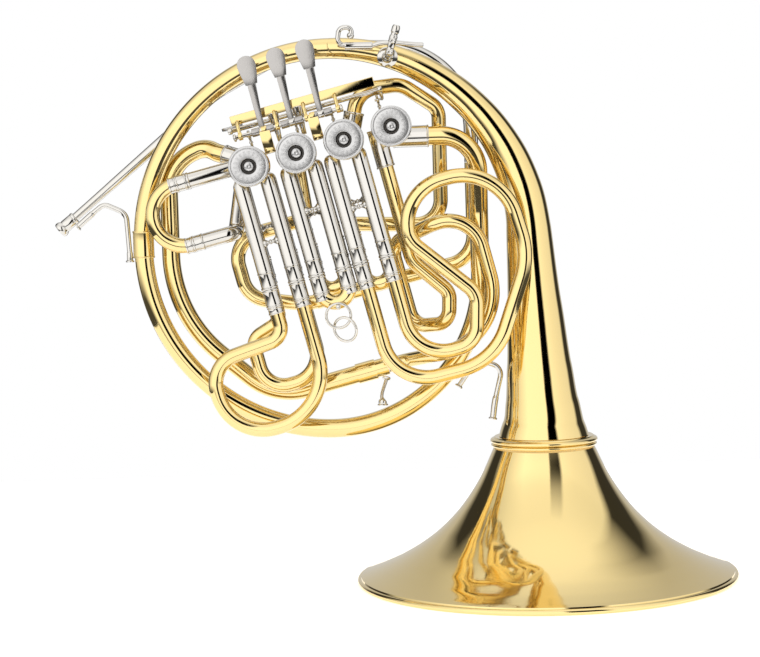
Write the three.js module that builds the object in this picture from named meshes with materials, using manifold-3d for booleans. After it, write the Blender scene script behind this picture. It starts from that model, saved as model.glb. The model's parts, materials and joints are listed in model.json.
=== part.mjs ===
// Double French horn, standing on the rim of its bell.
// Millimetres, +Z up, +X to the side that the bell is on, -Y towards the valve caps.
// The bell axis is vertical through x = 0, y = 0, and the underside of the rim is z = 0,
// until the last lines shift the whole horn so that its bounding box is centred on the origin.

import * as THREE from 'three';
import { mergeVertices } from 'three/addons/utils/BufferGeometryUtils.js';
import Module from 'manifold-3d';

// ---------------------------------------------------------------- driving dimensions

// Bell
const BELL_RIM_RADIUS = 155;
const BELL_WALL = 0.6;
const RIM_BEAD_RADIUS = 2.4;
const FLARE_HEIGHT = 103;
const FLARE_TOP_RADIUS = 41;
const FLARE_CURVE = 60;
const RING_RADIUS = 43.5;
const RING_BORE = 35.5;
const RING_HEIGHT = 9;

// Big coil, which the bell tail and the bell branch share
const COIL_RADIUS = 153.5;
const COIL_LEFT = -319.5;
const COIL_TOP = 434.5;
const COIL_DEPTH = 3;
const TAIL_BEND = 157;
const TAIL_LEAN = THREE.MathUtils.degToRad(3);
const BRANCH_TUBE = 8;
const BRANCH_RIGHT = -48;
const BRANCH_BEND = 122;
const BRANCH_SHOULDER = 300;
const BRANCH_PORT_DROP = 8;
const BRANCH_PORT_DEPTH = -8;
const COIL_FACETING = 0.5;

// Tubing
const TUBE_WALL = 0.6;
const INNER_COIL_TUBE = 7.7;
const BORE_TUBE = 6.2;
const SLEEVE_TUBE = 6.6;
const FERRULE_TUBE = 6.8;
const SLIDE_CLEARANCE = 0.3;
const GAP = 0.35;
const SIDES = 6;
const TURNED_SEGMENTS = 12;
const ARC_STEP = THREE.MathUtils.degToRad(34);
const CHORD_ERROR = 1;
const STEP_WALL = 1.2;

// Valves: a slanted row of four, each turning about its own Y axis
const VALVE_TILT = THREE.MathUtils.degToRad(14);
const VALVE_PITCH = 38.8;
const FIRST_VALVE_X = -230;
const FIRST_VALVE_Z = 342;
const CASING_RADIUS = 15;
const CASING_WALL = 1.6;
const CASING_FRONT = -41;
const CASING_BACK = 5;
const CAP_RADIUS = 16;
const CAP_HEIGHT = 5;
const ROTOR_CLEARANCE = 0.3;
const ROTOR_SHAFT_RADIUS = 3;
const WINDWAY_RADIUS = 5.2;
const PLATE_THICKNESS = 3;
const STOP_ARM_RADIUS = 6;
const STOP_PIN_RADIUS = 1.2;

// Slides, in the frame of the valve row: x along the row, z up square to it
const PORT_OFFSET = 11;
const FRONT_LEVEL = -31;
const REAR_LEVEL = -14;
const FRONT_SLEEVE_END = -98;
const REAR_SLEEVE_END = -75;
const SIDE_SLEEVE_END = -52;
const LEG_LENGTH = 50;
const SIDE_LEG_LENGTH = 16;
const FERRULE_LENGTH = 14;
const BRACE_RADIUS = 1.8;

// Levers
const LEVER_ROD_HEIGHT = 24.3;
const LEVER_ROD_DEPTH = -36;
const LEVER_ROD_RADIUS = 1.6;
const LEVER_HUB_RADIUS = 3.3;
const LEVER_POSITIONS = [18.4, 42.2, 65.9];
const LEVER_REACH = 60;
const TOUCH_WIDTH = 14.5;
const LINK_DEPTH = 14;

// ---------------------------------------------------------------- finishes

const lacqueredBrass = () => new THREE.MeshStandardMaterial({ color: 0xd8b45a, roughness: 0.18, metalness: 1 });
const nickelSilver = () => new THREE.MeshStandardMaterial({ color: 0xc9c6be, roughness: 0.2, metalness: 1 });
const rawBrass = () => new THREE.MeshStandardMaterial({ color: 0xb08d45, roughness: 0.4, metalness: 1 });

// ---------------------------------------------------------------- routes of bent tubes

// A point on a route: a straight run passes through it, and the tube has this outer radius from here on.
const at = (x, y, z, outer) => ({ position: new THREE.Vector3(x, y, z), outer });

// A corner of a route, rounded off with the given bend radius at the tube's centre line.
const turn = (x, y, z, bend) => ({ position: new THREE.Vector3(x, y, z), bend });

// The same two in the frame of the valve row.
const fromRow = (point) => {
  const { x, y, z } = point.position;
  const position = new THREE.Vector3(
    FIRST_VALVE_X + x * Math.cos(VALVE_TILT) - z * Math.sin(VALVE_TILT),
    y,
    FIRST_VALVE_Z + x * Math.sin(VALVE_TILT) + z * Math.cos(VALVE_TILT),
  );
  return { ...point, position };
};

// The knots of a route: where the tube's rings stand, which way each faces and how far along it is.
function routeKnots(points) {
  const knots = [];
  let travelled = 0;
  const addKnot = (position, tangent, outer) => {
    if (knots.length) {
      travelled += position.distanceTo(knots.at(-1).position);
    }
    knots.push({ position: position.clone(), tangent: tangent.clone(), travelled, outer });
  };
  points.forEach((point, index) => {
    const before = points[index - 1] ?? point;
    const after = points[index + 1] ?? point;
    const arriving = point.position.clone().sub(before.position).normalize();
    const leaving = after.position.clone().sub(point.position).normalize();
    if (!point.bend) {
      addKnot(point.position, index === 0 ? leaving : arriving, point.outer);
      return;
    }
    const angle = arriving.angleTo(leaving);
    const axis = arriving.clone().cross(leaving).normalize();
    const start = point.position.clone().addScaledVector(arriving, -point.bend * Math.tan(angle / 2));
    const centre = start.clone().addScaledVector(axis.clone().cross(arriving), point.bend);
    const finest = 2 * Math.acos(1 - CHORD_ERROR / Math.max(point.bend, CHORD_ERROR));
    const steps = Math.max(2, Math.ceil(angle / Math.min(ARC_STEP, finest)));
    for (let step = 0; step <= steps; step += 1) {
      const swept = (angle * step) / steps;
      const position = start.clone().sub(centre).applyAxisAngle(axis, swept).add(centre);
      addKnot(position, arriving.clone().applyAxisAngle(axis, swept));
    }
  });
  return knots;
}

// The radius at a distance along a taper given as [distance, radius] pairs.
function taperRadius(taper, distance) {
  const next = taper.findIndex(([mark]) => mark >= distance);
  if (next <= 0) {
    return taper.at(next)[1];
  }
  const [[startMark, startRadius], [endMark, endRadius]] = taper.slice(next - 1, next + 1);
  return THREE.MathUtils.mapLinear(distance, startMark, endMark, startRadius, endRadius);
}

// The tube's rings: tapered, or stepped at the sized points, where the bore steps just inside the wider tube.
function routeRings(points, taper) {
  const knots = routeKnots(points);
  if (taper) {
    return knots.map((knot) => ({ ...knot, outer: taperRadius(taper, knot.travelled), boreShift: 0 }));
  }
  const rings = [];
  let current = knots[0].outer;
  knots.forEach((knot, index) => {
    const next = knot.outer ?? current;
    if (next === current || index === knots.length - 1) {
      rings.push({ ...knot, outer: current, boreShift: 0 });
      return;
    }
    const boreShift = next > current ? STEP_WALL : -STEP_WALL;
    rings.push({ ...knot, outer: current, boreShift }, { ...knot, outer: next, boreShift });
    current = next;
  });
  return rings;
}

// A tube turned straight with one lathe ring for each knot, then bent along its route.
// A wall of 0 makes a solid rod.
function bentTube(points, { wall = TUBE_WALL, sides = SIDES, taper } = {}) {
  const rings = routeRings(points, taper);
  const outside = rings.map((ring, index) => new THREE.Vector2(ring.outer, index));
  const inside = rings.map((ring, index) => new THREE.Vector2(ring.outer - wall, index)).reverse();
  const last = rings.length - 1;
  const ends = [new THREE.Vector2(0, last), new THREE.Vector2(0, 0)];
  const profile = wall > 0 ? [...outside, ...inside, outside[0]] : [ends[1], ...outside, ends[0]];
  const geometry = new THREE.LatheGeometry(profile, sides);
  const side = new THREE.Vector3(0, 1, 0);
  if (Math.abs(rings[0].tangent.y) > 0.9) {
    side.set(1, 0, 0);
  }
  const frames = rings.map((ring, index) => {
    if (index > 0) {
      const turned = new THREE.Quaternion().setFromUnitVectors(rings[index - 1].tangent, ring.tangent);
      side.applyQuaternion(turned);
    }
    side.addScaledVector(ring.tangent, -side.dot(ring.tangent)).normalize();
    return { side: side.clone(), up: side.clone().cross(ring.tangent) };
  });
  const position = geometry.attributes.position;
  for (let index = 0; index < position.count; index += 1) {
    const ring = Math.round(position.getY(index));
    const place = rings[ring].position.clone();
    const reach = Math.hypot(position.getX(index), position.getZ(index));
    if (reach < rings[ring].outer - wall / 2) {
      place.addScaledVector(rings[ring].tangent, rings[ring].boreShift);
    }
    place.addScaledVector(frames[ring].side, position.getX(index));
    place.addScaledVector(frames[ring].up, position.getZ(index));
    position.setXYZ(index, place.x, place.y, place.z);
  }
  return geometry;
}

const straightTube = (from, to, outer, options) => bentTube([at(...from, outer), at(...to, outer)], options);

const rod = (from, to, radius, sides = SIDES) => straightTube(from, to, radius, { wall: 0, sides });

// A solid turned about the Y axis from [radius, y] pairs, moved to the given x and z.
function turned(pairs, x, z, segments = TURNED_SEGMENTS) {
  const profile = pairs.map(([radius, y]) => new THREE.Vector2(radius, y));
  return new THREE.LatheGeometry(profile, segments).translate(x, 0, z);
}

// ---------------------------------------------------------------- joining and cutting

const wasm = await Module();
wasm.setup();

function toSolid(geometry) {
  const bare = geometry.clone();
  bare.deleteAttribute('normal');
  bare.deleteAttribute('uv');
  const merged = mergeVertices(bare, 1e-4);
  const corners = merged.index.array;
  const kept = [];
  for (let index = 0; index < corners.length; index += 3) {
    const [a, b, c] = corners.slice(index, index + 3);
    if (a !== b && b !== c && c !== a) {
      kept.push(a, b, c);
    }
  }
  const mesh = new wasm.Mesh({
    numProp: 3,
    vertProperties: new Float32Array(merged.attributes.position.array),
    triVerts: new Uint32Array(kept),
  });
  return new wasm.Manifold(mesh);
}

function toGeometry(solid) {
  const mesh = solid.getMesh();
  const geometry = new THREE.BufferGeometry();
  geometry.setAttribute('position', new THREE.BufferAttribute(mesh.vertProperties, 3));
  geometry.setIndex(new THREE.BufferAttribute(mesh.triVerts, 1));
  return geometry;
}

const joined = (geometries) => geometries.map(toSolid).reduce((whole, next) => whole.add(next));

const build = (added, removed = []) => {
  const cut = removed.map(toSolid).reduce((whole, next) => whole.subtract(next), joined(added));
  return toGeometry(cut);
};

// ---------------------------------------------------------------- the assembly

const horn = new THREE.Group();
const valveRow = new THREE.Group();
valveRow.position.set(FIRST_VALVE_X, 0, FIRST_VALVE_Z);
valveRow.rotation.y = -VALVE_TILT;
horn.add(valveRow);

function addPiece(name, geometry, material, parent = horn) {
  const piece = new THREE.Mesh(geometry, material);
  piece.name = name;
  parent.add(piece);
  return piece;
}

// ---------------------------------------------------------------- bell

const RIM_THICKNESS = 2 * RIM_BEAD_RADIUS;
const FLARE_TOP = RIM_THICKNESS + FLARE_HEIGHT;
const RING_BOTTOM = FLARE_TOP + GAP;
const TAIL_BOTTOM = RING_BOTTOM + RING_HEIGHT + GAP;
const COIL_BOTTOM = COIL_TOP - 2 * COIL_RADIUS;

// The flare's outer radius falls from the rim to the ring as a hyperbola, as a horn bell's does.
function flareRadius(height) {
  const curve = (value) => FLARE_CURVE / (value + FLARE_CURVE);
  const share = (curve(height) - curve(FLARE_HEIGHT)) / (1 - curve(FLARE_HEIGHT));
  return THREE.MathUtils.lerp(FLARE_TOP_RADIUS, BELL_RIM_RADIUS, share);
}

// The bell tail's outer radius against the distance from the bell ring.
const TAIL_TAPER = [
  [0, 37], [12, 33], [29, 29.7], [47, 27.4], [87, 23.7], [125, 21], [165, 18.6],
  [224, 15.8], [287, 12.6], [356, 9.8], [410, 8.3], [480, BRANCH_TUBE],
];

function addBell() {
  const steps = [0, 3, 8, 15, 25, 38, 55, 78, FLARE_HEIGHT];
  const outside = steps.map((height) => new THREE.Vector2(flareRadius(height), height + RIM_THICKNESS));
  const inside = outside.map(({ x, y }) => new THREE.Vector2(x - 1.5 * BELL_WALL, y - 0.5 * BELL_WALL));
  const flatWidth = 1.5 * RIM_BEAD_RADIUS;
  const bead = [
    new THREE.Vector2(BELL_RIM_RADIUS - 2 * RIM_BEAD_RADIUS, 0),
    new THREE.Vector2(BELL_RIM_RADIUS - 2 * RIM_BEAD_RADIUS + flatWidth, 0),
    new THREE.Vector2(BELL_RIM_RADIUS, RIM_BEAD_RADIUS * 0.6),
    new THREE.Vector2(BELL_RIM_RADIUS, RIM_BEAD_RADIUS * 1.4),
  ];
  const beadTop = new THREE.Vector2(BELL_RIM_RADIUS - 2 * RIM_BEAD_RADIUS, RIM_THICKNESS - BELL_WALL);
  inside.at(-1).y = FLARE_TOP;
  const profile = [...bead, ...outside, ...inside.slice(1).reverse(), beadTop, bead[0]];
  addPiece('bell_flare', new THREE.LatheGeometry(profile, 26).rotateX(Math.PI / 2), lacqueredBrass());

  const lip = RING_RADIUS - 2.5;
  const ringProfile = [
    [RING_BORE, 0], [lip, 0], [lip, 1.5], [RING_RADIUS, 3], [RING_RADIUS, RING_HEIGHT - 3],
    [lip, RING_HEIGHT - 1.5], [lip, RING_HEIGHT], [RING_BORE, RING_HEIGHT], [RING_BORE, 0],
  ].map(([radius, height]) => new THREE.Vector2(radius, height + RING_BOTTOM));
  addPiece('bell_ring', new THREE.LatheGeometry(ringProfile, 18).rotateX(Math.PI / 2), lacqueredBrass());

  const lean = (height) => -Math.tan(TAIL_LEAN) * Math.max(0, height - TAIL_BOTTOM - 12);
  const onTail = (height) => at(lean(height), 0, height);
  const tailRoute = [
    at(0, 0, TAIL_BOTTOM),
    onTail(TAIL_BOTTOM + 12),
    onTail(TAIL_BOTTOM + 30),
    onTail(TAIL_BOTTOM + 60),
    onTail(TAIL_BOTTOM + 110),
    turn(lean(COIL_TOP), 0, COIL_TOP, TAIL_BEND),
    turn(COIL_LEFT, COIL_DEPTH, COIL_TOP, COIL_RADIUS - COIL_FACETING),
    at(COIL_LEFT, COIL_DEPTH, COIL_TOP - COIL_RADIUS - GAP),
  ];
  addPiece('bell_tail', bentTube(tailRoute, { taper: TAIL_TAPER, sides: 10, wall: BELL_WALL }), lacqueredBrass());

  const lastValve = valveCentre(3);
  const portHeight = lastValve.z - BRANCH_PORT_DROP;
  const branchRoute = [
    at(COIL_LEFT, COIL_DEPTH, COIL_TOP - COIL_RADIUS - 2 * GAP, BRANCH_TUBE),
    turn(COIL_LEFT, COIL_DEPTH, COIL_BOTTOM, COIL_RADIUS - 4),
    turn(BRANCH_RIGHT, COIL_DEPTH, COIL_BOTTOM, BRANCH_BEND),
    turn(BRANCH_RIGHT, COIL_DEPTH, BRANCH_SHOULDER, 30),
    turn(BRANCH_RIGHT, BRANCH_PORT_DEPTH, portHeight, 30),
    at(lastValve.x + 2 * CASING_RADIUS, BRANCH_PORT_DEPTH, portHeight, BRANCH_TUBE + GAP - 0.05),
    at(lastValve.x + CASING_RADIUS / 2, BRANCH_PORT_DEPTH, portHeight),
  ];
  addPiece('bell_branch', build([bentTube(branchRoute)], [casingSpace(lastValve)]), lacqueredBrass());
}

// ---------------------------------------------------------------- valves

function valveCentre(index) {
  return fromRow(at(index * VALVE_PITCH, 0, 0)).position;
}

// Room that the tubes leave for a casing.
function casingSpace(centre) {
  const radius = (CASING_RADIUS + GAP) / Math.cos(Math.PI / TURNED_SEGMENTS);
  const ends = [CASING_FRONT - CAP_HEIGHT, CASING_BACK + 20];
  return turned([[0, ends[0]], [radius, ends[0]], [radius, ends[1]], [0, ends[1]]], centre.x, centre.z);
}

const rowValve = (index) => ({ x: index * VALVE_PITCH, z: 0 });

// Where each slide hangs: the valve it belongs to and the middle of its two legs.
const SLIDE_CENTRES = [0, VALVE_PITCH, 2 * VALVE_PITCH - 2.8];
const CHANGE_PORT_X = 3 * VALVE_PITCH - 12.4;
const portPositions = [...SLIDE_CENTRES.map((centre) => [centre - PORT_OFFSET, centre + PORT_OFFSET])];
portPositions.push([CHANGE_PORT_X]);

const SLEEVE_BORE = SLEEVE_TUBE - TUBE_WALL;
const LEG_TUBE = SLEEVE_BORE * Math.cos(Math.PI / SIDES) - SLIDE_CLEARANCE;
const ROTOR_RADIUS = (CASING_RADIUS - CASING_WALL) * Math.cos(Math.PI / TURNED_SEGMENTS) - ROTOR_CLEARANCE;
const STOP_PIN_OFFSET = STOP_ARM_RADIUS * Math.SQRT1_2;
const stopPinX = (index) => index * VALVE_PITCH + (index < 2 ? STOP_PIN_OFFSET : -STOP_PIN_OFFSET);
const ROTOR_BACK = CASING_BACK - GAP;
const PLATE_FRONT = CASING_BACK + GAP;
const STOP_ARM_FRONT = PLATE_FRONT + PLATE_THICKNESS + GAP;
const STOP_ARM_THICKNESS = 2.6;

function addValve(index) {
  const { x } = rowValve(index);
  const bore = CASING_RADIUS - CASING_WALL;
  const shell = turned([
    [bore, CASING_FRONT], [CASING_RADIUS, CASING_FRONT], [CASING_RADIUS, CASING_BACK],
    [bore, CASING_BACK], [bore, CASING_FRONT],
  ], x, 0);
  const ports = portPositions[index].flatMap((portX) => [FRONT_LEVEL, REAR_LEVEL].map(
    (level) => rod([portX, level, -2], [portX, level, -20], LEG_TUBE - TUBE_WALL),
  ));
  addPiece(`valve_casing_${index + 1}`, build([shell], ports), lacqueredBrass(), valveRow);

  const capBack = CASING_FRONT - GAP;
  const capFront = capBack - CAP_HEIGHT;
  const cap = turned([
    [0, capFront - 0.3], [2.6, capFront - 0.3], [2.6, capFront + 1.4], [5.8, capFront + 1.4],
    [6.4, capFront], [CAP_RADIUS - 1, capFront], [CAP_RADIUS, capFront + 0.9], [CAP_RADIUS, capBack],
    [0, capBack],
  ], x, 0);
  addPiece(`valve_cap_${index + 1}`, cap, nickelSilver(), valveRow);

  const plateRadius = CASING_RADIUS - 0.5;
  const plateBore = ROTOR_SHAFT_RADIUS + GAP;
  const plateBack = PLATE_FRONT + PLATE_THICKNESS;
  const plate = turned([
    [plateBore, PLATE_FRONT], [plateRadius, PLATE_FRONT], [plateRadius, plateBack],
    [plateBore, plateBack], [plateBore, PLATE_FRONT],
  ], x, 0);
  addPiece(`bearing_plate_${index + 1}`, plate, nickelSilver(), valveRow);

  const shaftBack = STOP_ARM_FRONT + STOP_ARM_THICKNESS;
  const body = turned([
    [0, CASING_FRONT + GAP], [ROTOR_RADIUS, CASING_FRONT + GAP], [ROTOR_RADIUS, ROTOR_BACK],
    [ROTOR_SHAFT_RADIUS, ROTOR_BACK], [ROTOR_SHAFT_RADIUS, shaftBack], [0, shaftBack],
  ], x, 0);
  const pinX = stopPinX(index);
  const armMiddle = STOP_ARM_FRONT + STOP_ARM_THICKNESS / 2;
  const arm = new THREE.BoxGeometry(STOP_ARM_RADIUS + 3, STOP_ARM_THICKNESS, 4.5);
  arm.translate((STOP_ARM_RADIUS + 3) / 2, 0, 0);
  arm.rotateY(index < 2 ? -Math.PI / 4 : -3 * Math.PI / 4);
  arm.translate(x, armMiddle, 0);
  const pin = rod([pinX, armMiddle, STOP_PIN_OFFSET], [pinX, LINK_DEPTH + 2, STOP_PIN_OFFSET], STOP_PIN_RADIUS, 6);
  const windways = [-1, 1].flatMap((side) => [FRONT_LEVEL, REAR_LEVEL].map((level) => {
    const wayX = x + side * (ROTOR_RADIUS - WINDWAY_RADIUS - 1.2);
    return rod([wayX, level, -CASING_RADIUS], [wayX, level, CASING_RADIUS], WINDWAY_RADIUS);
  }));
  addPiece(`rotor_${index + 1}`, build([body, arm, pin], windways), rawBrass(), valveRow);
}

// ---------------------------------------------------------------- slides

// Two outer sleeves soldered to the casing and to each other by a brace.
function addSleevePair(name, valveIndex, level, sleeveEnd, braceHeights) {
  const centre = SLIDE_CENTRES[valveIndex];
  const legs = [centre - PORT_OFFSET, centre + PORT_OFFSET];
  const sleeves = legs.map((x) => rod([x, level, -5], [x, level, sleeveEnd], SLEEVE_TUBE));
  const braces = braceHeights.map((z) => rod([legs[0], level, z], [legs[1], level, z], BRACE_RADIUS, 6));
  const bores = legs.map((x) => rod([x, level, 0], [x, level, sleeveEnd - 1], SLEEVE_BORE));
  const solid = build([...sleeves, ...braces], [...bores, casingSpace(rowValve(valveIndex))]);
  addPiece(name, solid, nickelSilver(), valveRow);
}

// A sliding crook: legs inside the sleeves, ferrules, and a bow that follows the given corners.
function addCrook(name, valveIndex, level, sleeveEnd, corners, extras = []) {
  const centre = SLIDE_CENTRES[valveIndex];
  const [first, last] = [centre - PORT_OFFSET, centre + PORT_OFFSET];
  const legTop = sleeveEnd + LEG_LENGTH;
  const ferruleTop = sleeveEnd - GAP;
  const ferruleEnd = ferruleTop - FERRULE_LENGTH;
  const route = [
    at(first, level, legTop, LEG_TUBE),
    at(first, level, ferruleTop, FERRULE_TUBE),
    at(first, level, ferruleEnd, BORE_TUBE),
    ...corners.map(([x, z, bend]) => turn(x, level, z, bend)),
    at(last, level, ferruleEnd, FERRULE_TUBE),
    at(last, level, ferruleTop, LEG_TUBE),
    at(last, level, legTop, LEG_TUBE),
  ];
  const bow = bentTube(route);
  const solid = extras.length ? build([bow, ...extras]) : bow;
  addPiece(name, solid, lacqueredBrass(), valveRow);
}

// A short U bow between two legs.
const shortBow = (valveIndex, bottom) => {
  const centre = SLIDE_CENTRES[valveIndex];
  const bend = PORT_OFFSET - 0.2;
  return [[centre - PORT_OFFSET, bottom, bend], [centre + PORT_OFFSET, bottom, bend]];
};

const RING_WIRE = 1.1;
const PULL_RING_RADIUS = 9.6;
const PULL_RING_DEPTH = FRONT_LEVEL - BORE_TUBE - 3.2;
const SHORT_BOW_BOTTOM = -122.5;
const STUD_RADIUS = 1;
const DROP_REACH = 63;
const DROP_BOTTOM = -206;
const LOOP_TOP = -51;
const LOOP_BOTTOM = -200;
const LOOP_REACH = 108.2;
const LOOP_WAIST = 21.2;

function addFrontSlides() {
  const left = SLIDE_CENTRES[0] - PORT_OFFSET;
  const right = SLIDE_CENTRES[0] + PORT_OFFSET;
  const teardrop = [
    [left, -138, 12], [left - DROP_REACH, -143, 24], [left - DROP_REACH, DROP_BOTTOM, 37], [right, DROP_BOTTOM, 45],
  ];
  const [loopStart, loopEnd] = [SLIDE_CENTRES[2] - PORT_OFFSET, SLIDE_CENTRES[2] + PORT_OFFSET];
  const longLoop = [
    [loopStart, LOOP_BOTTOM, 36],
    [loopEnd + 60, LOOP_BOTTOM - 2, 50],
    [loopEnd + LOOP_REACH, -128, 60],
    [loopEnd + LOOP_REACH - 3, LOOP_TOP, 44],
    [loopEnd + LOOP_WAIST, LOOP_TOP, 36],
    [loopEnd + LOOP_WAIST, LOOP_TOP - 41, 22],
    [loopEnd + 61, -146, 18],
    [loopEnd + 50, LOOP_BOTTOM + 16, 19],
    [loopEnd, LOOP_BOTTOM + 16, 31],
  ];
  const eyeX = SLIDE_CENTRES[1] - 1;
  const eyeZ = SHORT_BOW_BOTTOM - BORE_TUBE / 2;
  const eye = rod([eyeX, FRONT_LEVEL - BORE_TUBE / 2, eyeZ], [eyeX, PULL_RING_DEPTH - 3.4, eyeZ], STUD_RADIUS, 6);
  addSleevePair('f_slide_sleeves_1', 0, FRONT_LEVEL, FRONT_SLEEVE_END, [-62]);
  addSleevePair('f_slide_sleeves_2', 1, FRONT_LEVEL, FRONT_SLEEVE_END, [-46]);
  addSleevePair('f_slide_sleeves_3', 2, FRONT_LEVEL, FRONT_SLEEVE_END, [-54]);
  addCrook('f_slide_crook_1', 0, FRONT_LEVEL, FRONT_SLEEVE_END, teardrop);
  addCrook('f_slide_crook_2', 1, FRONT_LEVEL, FRONT_SLEEVE_END, shortBow(1, SHORT_BOW_BOTTOM), [eye]);
  addCrook('f_slide_crook_3', 2, FRONT_LEVEL, FRONT_SLEEVE_END, longLoop);
  return fromRow(at(eyeX, PULL_RING_DEPTH, eyeZ)).position;
}

function addRearSlides() {
  const left = SLIDE_CENTRES[0] - PORT_OFFSET;
  const right = SLIDE_CENTRES[0] + PORT_OFFSET;
  const reach = left - 2 * (SLEEVE_TUBE + BORE_TUBE) - 0.4;
  const teardrop = [[left, -126, 10], [reach, -134, 12], [reach, -177, 20], [right, -177, 24]];
  const bows = [teardrop, shortBow(1, -112), shortBow(2, -118)];
  bows.forEach((bow, index) => {
    addSleevePair(`b_slide_sleeves_${index + 1}`, index, REAR_LEVEL, REAR_SLEEVE_END, [-50]);
    addCrook(`b_slide_crook_${index + 1}`, index, REAR_LEVEL, REAR_SLEEVE_END, bow);
  });
}

// The main tuning slide lies along the valve row, left of the first valve.
function addTuningSlide() {
  const upper = 2.3;
  const lower = -47.5;
  const level = REAR_LEVEL;
  const bow = (upper - lower) / 2;
  const bowLeft = SIDE_SLEEVE_END - 10 - bow;
  const sleeveBlank = rod([-8, level, upper], [SIDE_SLEEVE_END, level, upper], SLEEVE_TUBE);
  const sleeveBore = rod([0, level, upper], [SIDE_SLEEVE_END - 1, level, upper], SLEEVE_BORE);
  const sleeve = build([sleeveBlank], [sleeveBore, casingSpace(rowValve(0))]);
  addPiece('tuning_sleeve_upper', sleeve, nickelSilver(), valveRow);

  const elbowX = SLIDE_CENTRES[0] - PORT_OFFSET - SLEEVE_TUBE - BORE_TUBE - 3;
  const returnRoute = [
    at(SIDE_SLEEVE_END, level, lower, SLEEVE_TUBE),
    turn(elbowX, level, lower, 7.5),
    turn(elbowX, 3, lower, 7.5),
    at(-10, -2, -9, SLEEVE_TUBE),
  ];
  const returnTube = build([bentTube(returnRoute)], [casingSpace(rowValve(0))]);
  addPiece('tuning_sleeve_lower', returnTube, nickelSilver(), valveRow);

  const legEnd = SIDE_SLEEVE_END + SIDE_LEG_LENGTH;
  const ferruleStart = SIDE_SLEEVE_END - GAP;
  const ferruleEnd = ferruleStart - 9;
  const crookRoute = [
    at(legEnd, level, upper, LEG_TUBE),
    at(ferruleStart, level, upper, FERRULE_TUBE),
    at(ferruleEnd, level, upper, BORE_TUBE),
    turn(bowLeft, level, upper, bow - 0.2),
    turn(bowLeft, level, lower, bow - 0.2),
    at(ferruleEnd, level, lower, FERRULE_TUBE),
    at(ferruleStart, level, lower, LEG_TUBE),
    at(legEnd, level, lower, LEG_TUBE),
  ];
  addPiece('tuning_slide', bentTube(crookRoute), lacqueredBrass(), valveRow);
}

// ---------------------------------------------------------------- fixed branches

const BOTTOM_RUN = -186;
const INNER_DEPTH = 13.2;
const INNER_LEFT = -298.5;
const BACK_DEPTH = 18;
const CHANGE_START = CHANGE_PORT_X - 42;

function addBranches() {
  const firstRoute = [
    fromRow(at(-9, -1, 9, INNER_COIL_TUBE)),
    fromRow(turn(-24, INNER_DEPTH - 7, 18, 14)),
    turn(-268, INNER_DEPTH, 359, 16),
    turn(INNER_LEFT, INNER_DEPTH, 346, 34),
    turn(INNER_LEFT, INNER_DEPTH, 222, 108),
    turn(-217, INNER_DEPTH, 153, 50),
    fromRow(at(36, INNER_DEPTH, BOTTOM_RUN, INNER_COIL_TUBE + 1)),
    fromRow(at(52, INNER_DEPTH, BOTTOM_RUN, INNER_COIL_TUBE)),
    fromRow(at(CHANGE_START, INNER_DEPTH, BOTTOM_RUN)),
  ];
  const first = build([bentTube(firstRoute)], [casingSpace(valveCentre(0))]);
  addPiece('first_branch', first, lacqueredBrass());

  const changeRoute = [
    at(CHANGE_START + GAP, INNER_DEPTH, BOTTOM_RUN, BORE_TUBE),
    turn(CHANGE_START + 16, INNER_DEPTH, BOTTOM_RUN, 20),
    turn(CHANGE_PORT_X + 4, REAR_LEVEL, BOTTOM_RUN, 20),
    turn(CHANGE_PORT_X + 57, REAR_LEVEL, BOTTOM_RUN, 50),
    turn(CHANGE_PORT_X + 57, REAR_LEVEL, -82, 28),
    turn(CHANGE_PORT_X + 22, REAR_LEVEL, -84, 12),
    turn(CHANGE_PORT_X - 13, 6, -91, 14),
    turn(CHANGE_PORT_X - 13, 4, -160, 14),
    turn(CHANGE_PORT_X + 15, REAR_LEVEL, -164, 13),
    turn(CHANGE_PORT_X + 22, REAR_LEVEL, -140, 12),
    turn(CHANGE_PORT_X, REAR_LEVEL, -108, 20),
    at(CHANGE_PORT_X, REAR_LEVEL, -30, FERRULE_TUBE),
    at(CHANGE_PORT_X, REAR_LEVEL, -5),
  ];
  const change = build([bentTube(changeRoute)], [casingSpace(rowValve(3))]);
  addPiece('change_branch', change, lacqueredBrass(), valveRow);

  const thirdValve = valveCentre(2);
  const lastValve = valveCentre(3);
  const archRight = lastValve.x + 39;
  const archTop = lastValve.z + 34;
  const archRoute = [
    at(thirdValve.x + 6, -5, thirdValve.z + 10, INNER_COIL_TUBE),
    at(thirdValve.x + 8.5, -5, thirdValve.z + 22, BORE_TUBE),
    turn(thirdValve.x + 12, -5, archTop - 4, 20),
    turn(archRight - 30, -2, archTop, 20),
    turn(archRight, 8, archTop - 20, 14),
    turn(archRight, BACK_DEPTH, archTop - 114, 20),
    fromRow(at(CHANGE_START, BACK_DEPTH, -66)),
  ];
  const arch = build([bentTube(archRoute)], [casingSpace(thirdValve)]);
  addPiece('second_branch', arch, lacqueredBrass());

  const crossRun = -120;
  const backLeft = -33;
  const backTurn = -53;
  const backRight = -52;
  const backTop = 340;
  const backRoute = [
    at(backRight, BACK_DEPTH + 2, backTop, BORE_TUBE),
    turn(backRight, BACK_DEPTH + 2, 262, 24),
    fromRow(at(59, BACK_DEPTH, crossRun, FERRULE_TUBE)),
    fromRow(at(20, BACK_DEPTH, crossRun, BORE_TUBE)),
    fromRow(turn(backLeft, BACK_DEPTH, crossRun + 16, 22)),
    fromRow(turn(backLeft, BACK_DEPTH, backTurn, 22)),
    fromRow(turn(VALVE_PITCH - 7.8, BACK_DEPTH, backTurn, 14)),
    fromRow(at(VALVE_PITCH - 2.8, 0, -9)),
  ];
  const back = build([bentTube(backRoute)], [casingSpace(valveCentre(1))]);
  addPiece('back_branch', back, lacqueredBrass());

  return { backRight, backTop };
}

// ---------------------------------------------------------------- leadpipe

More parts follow.
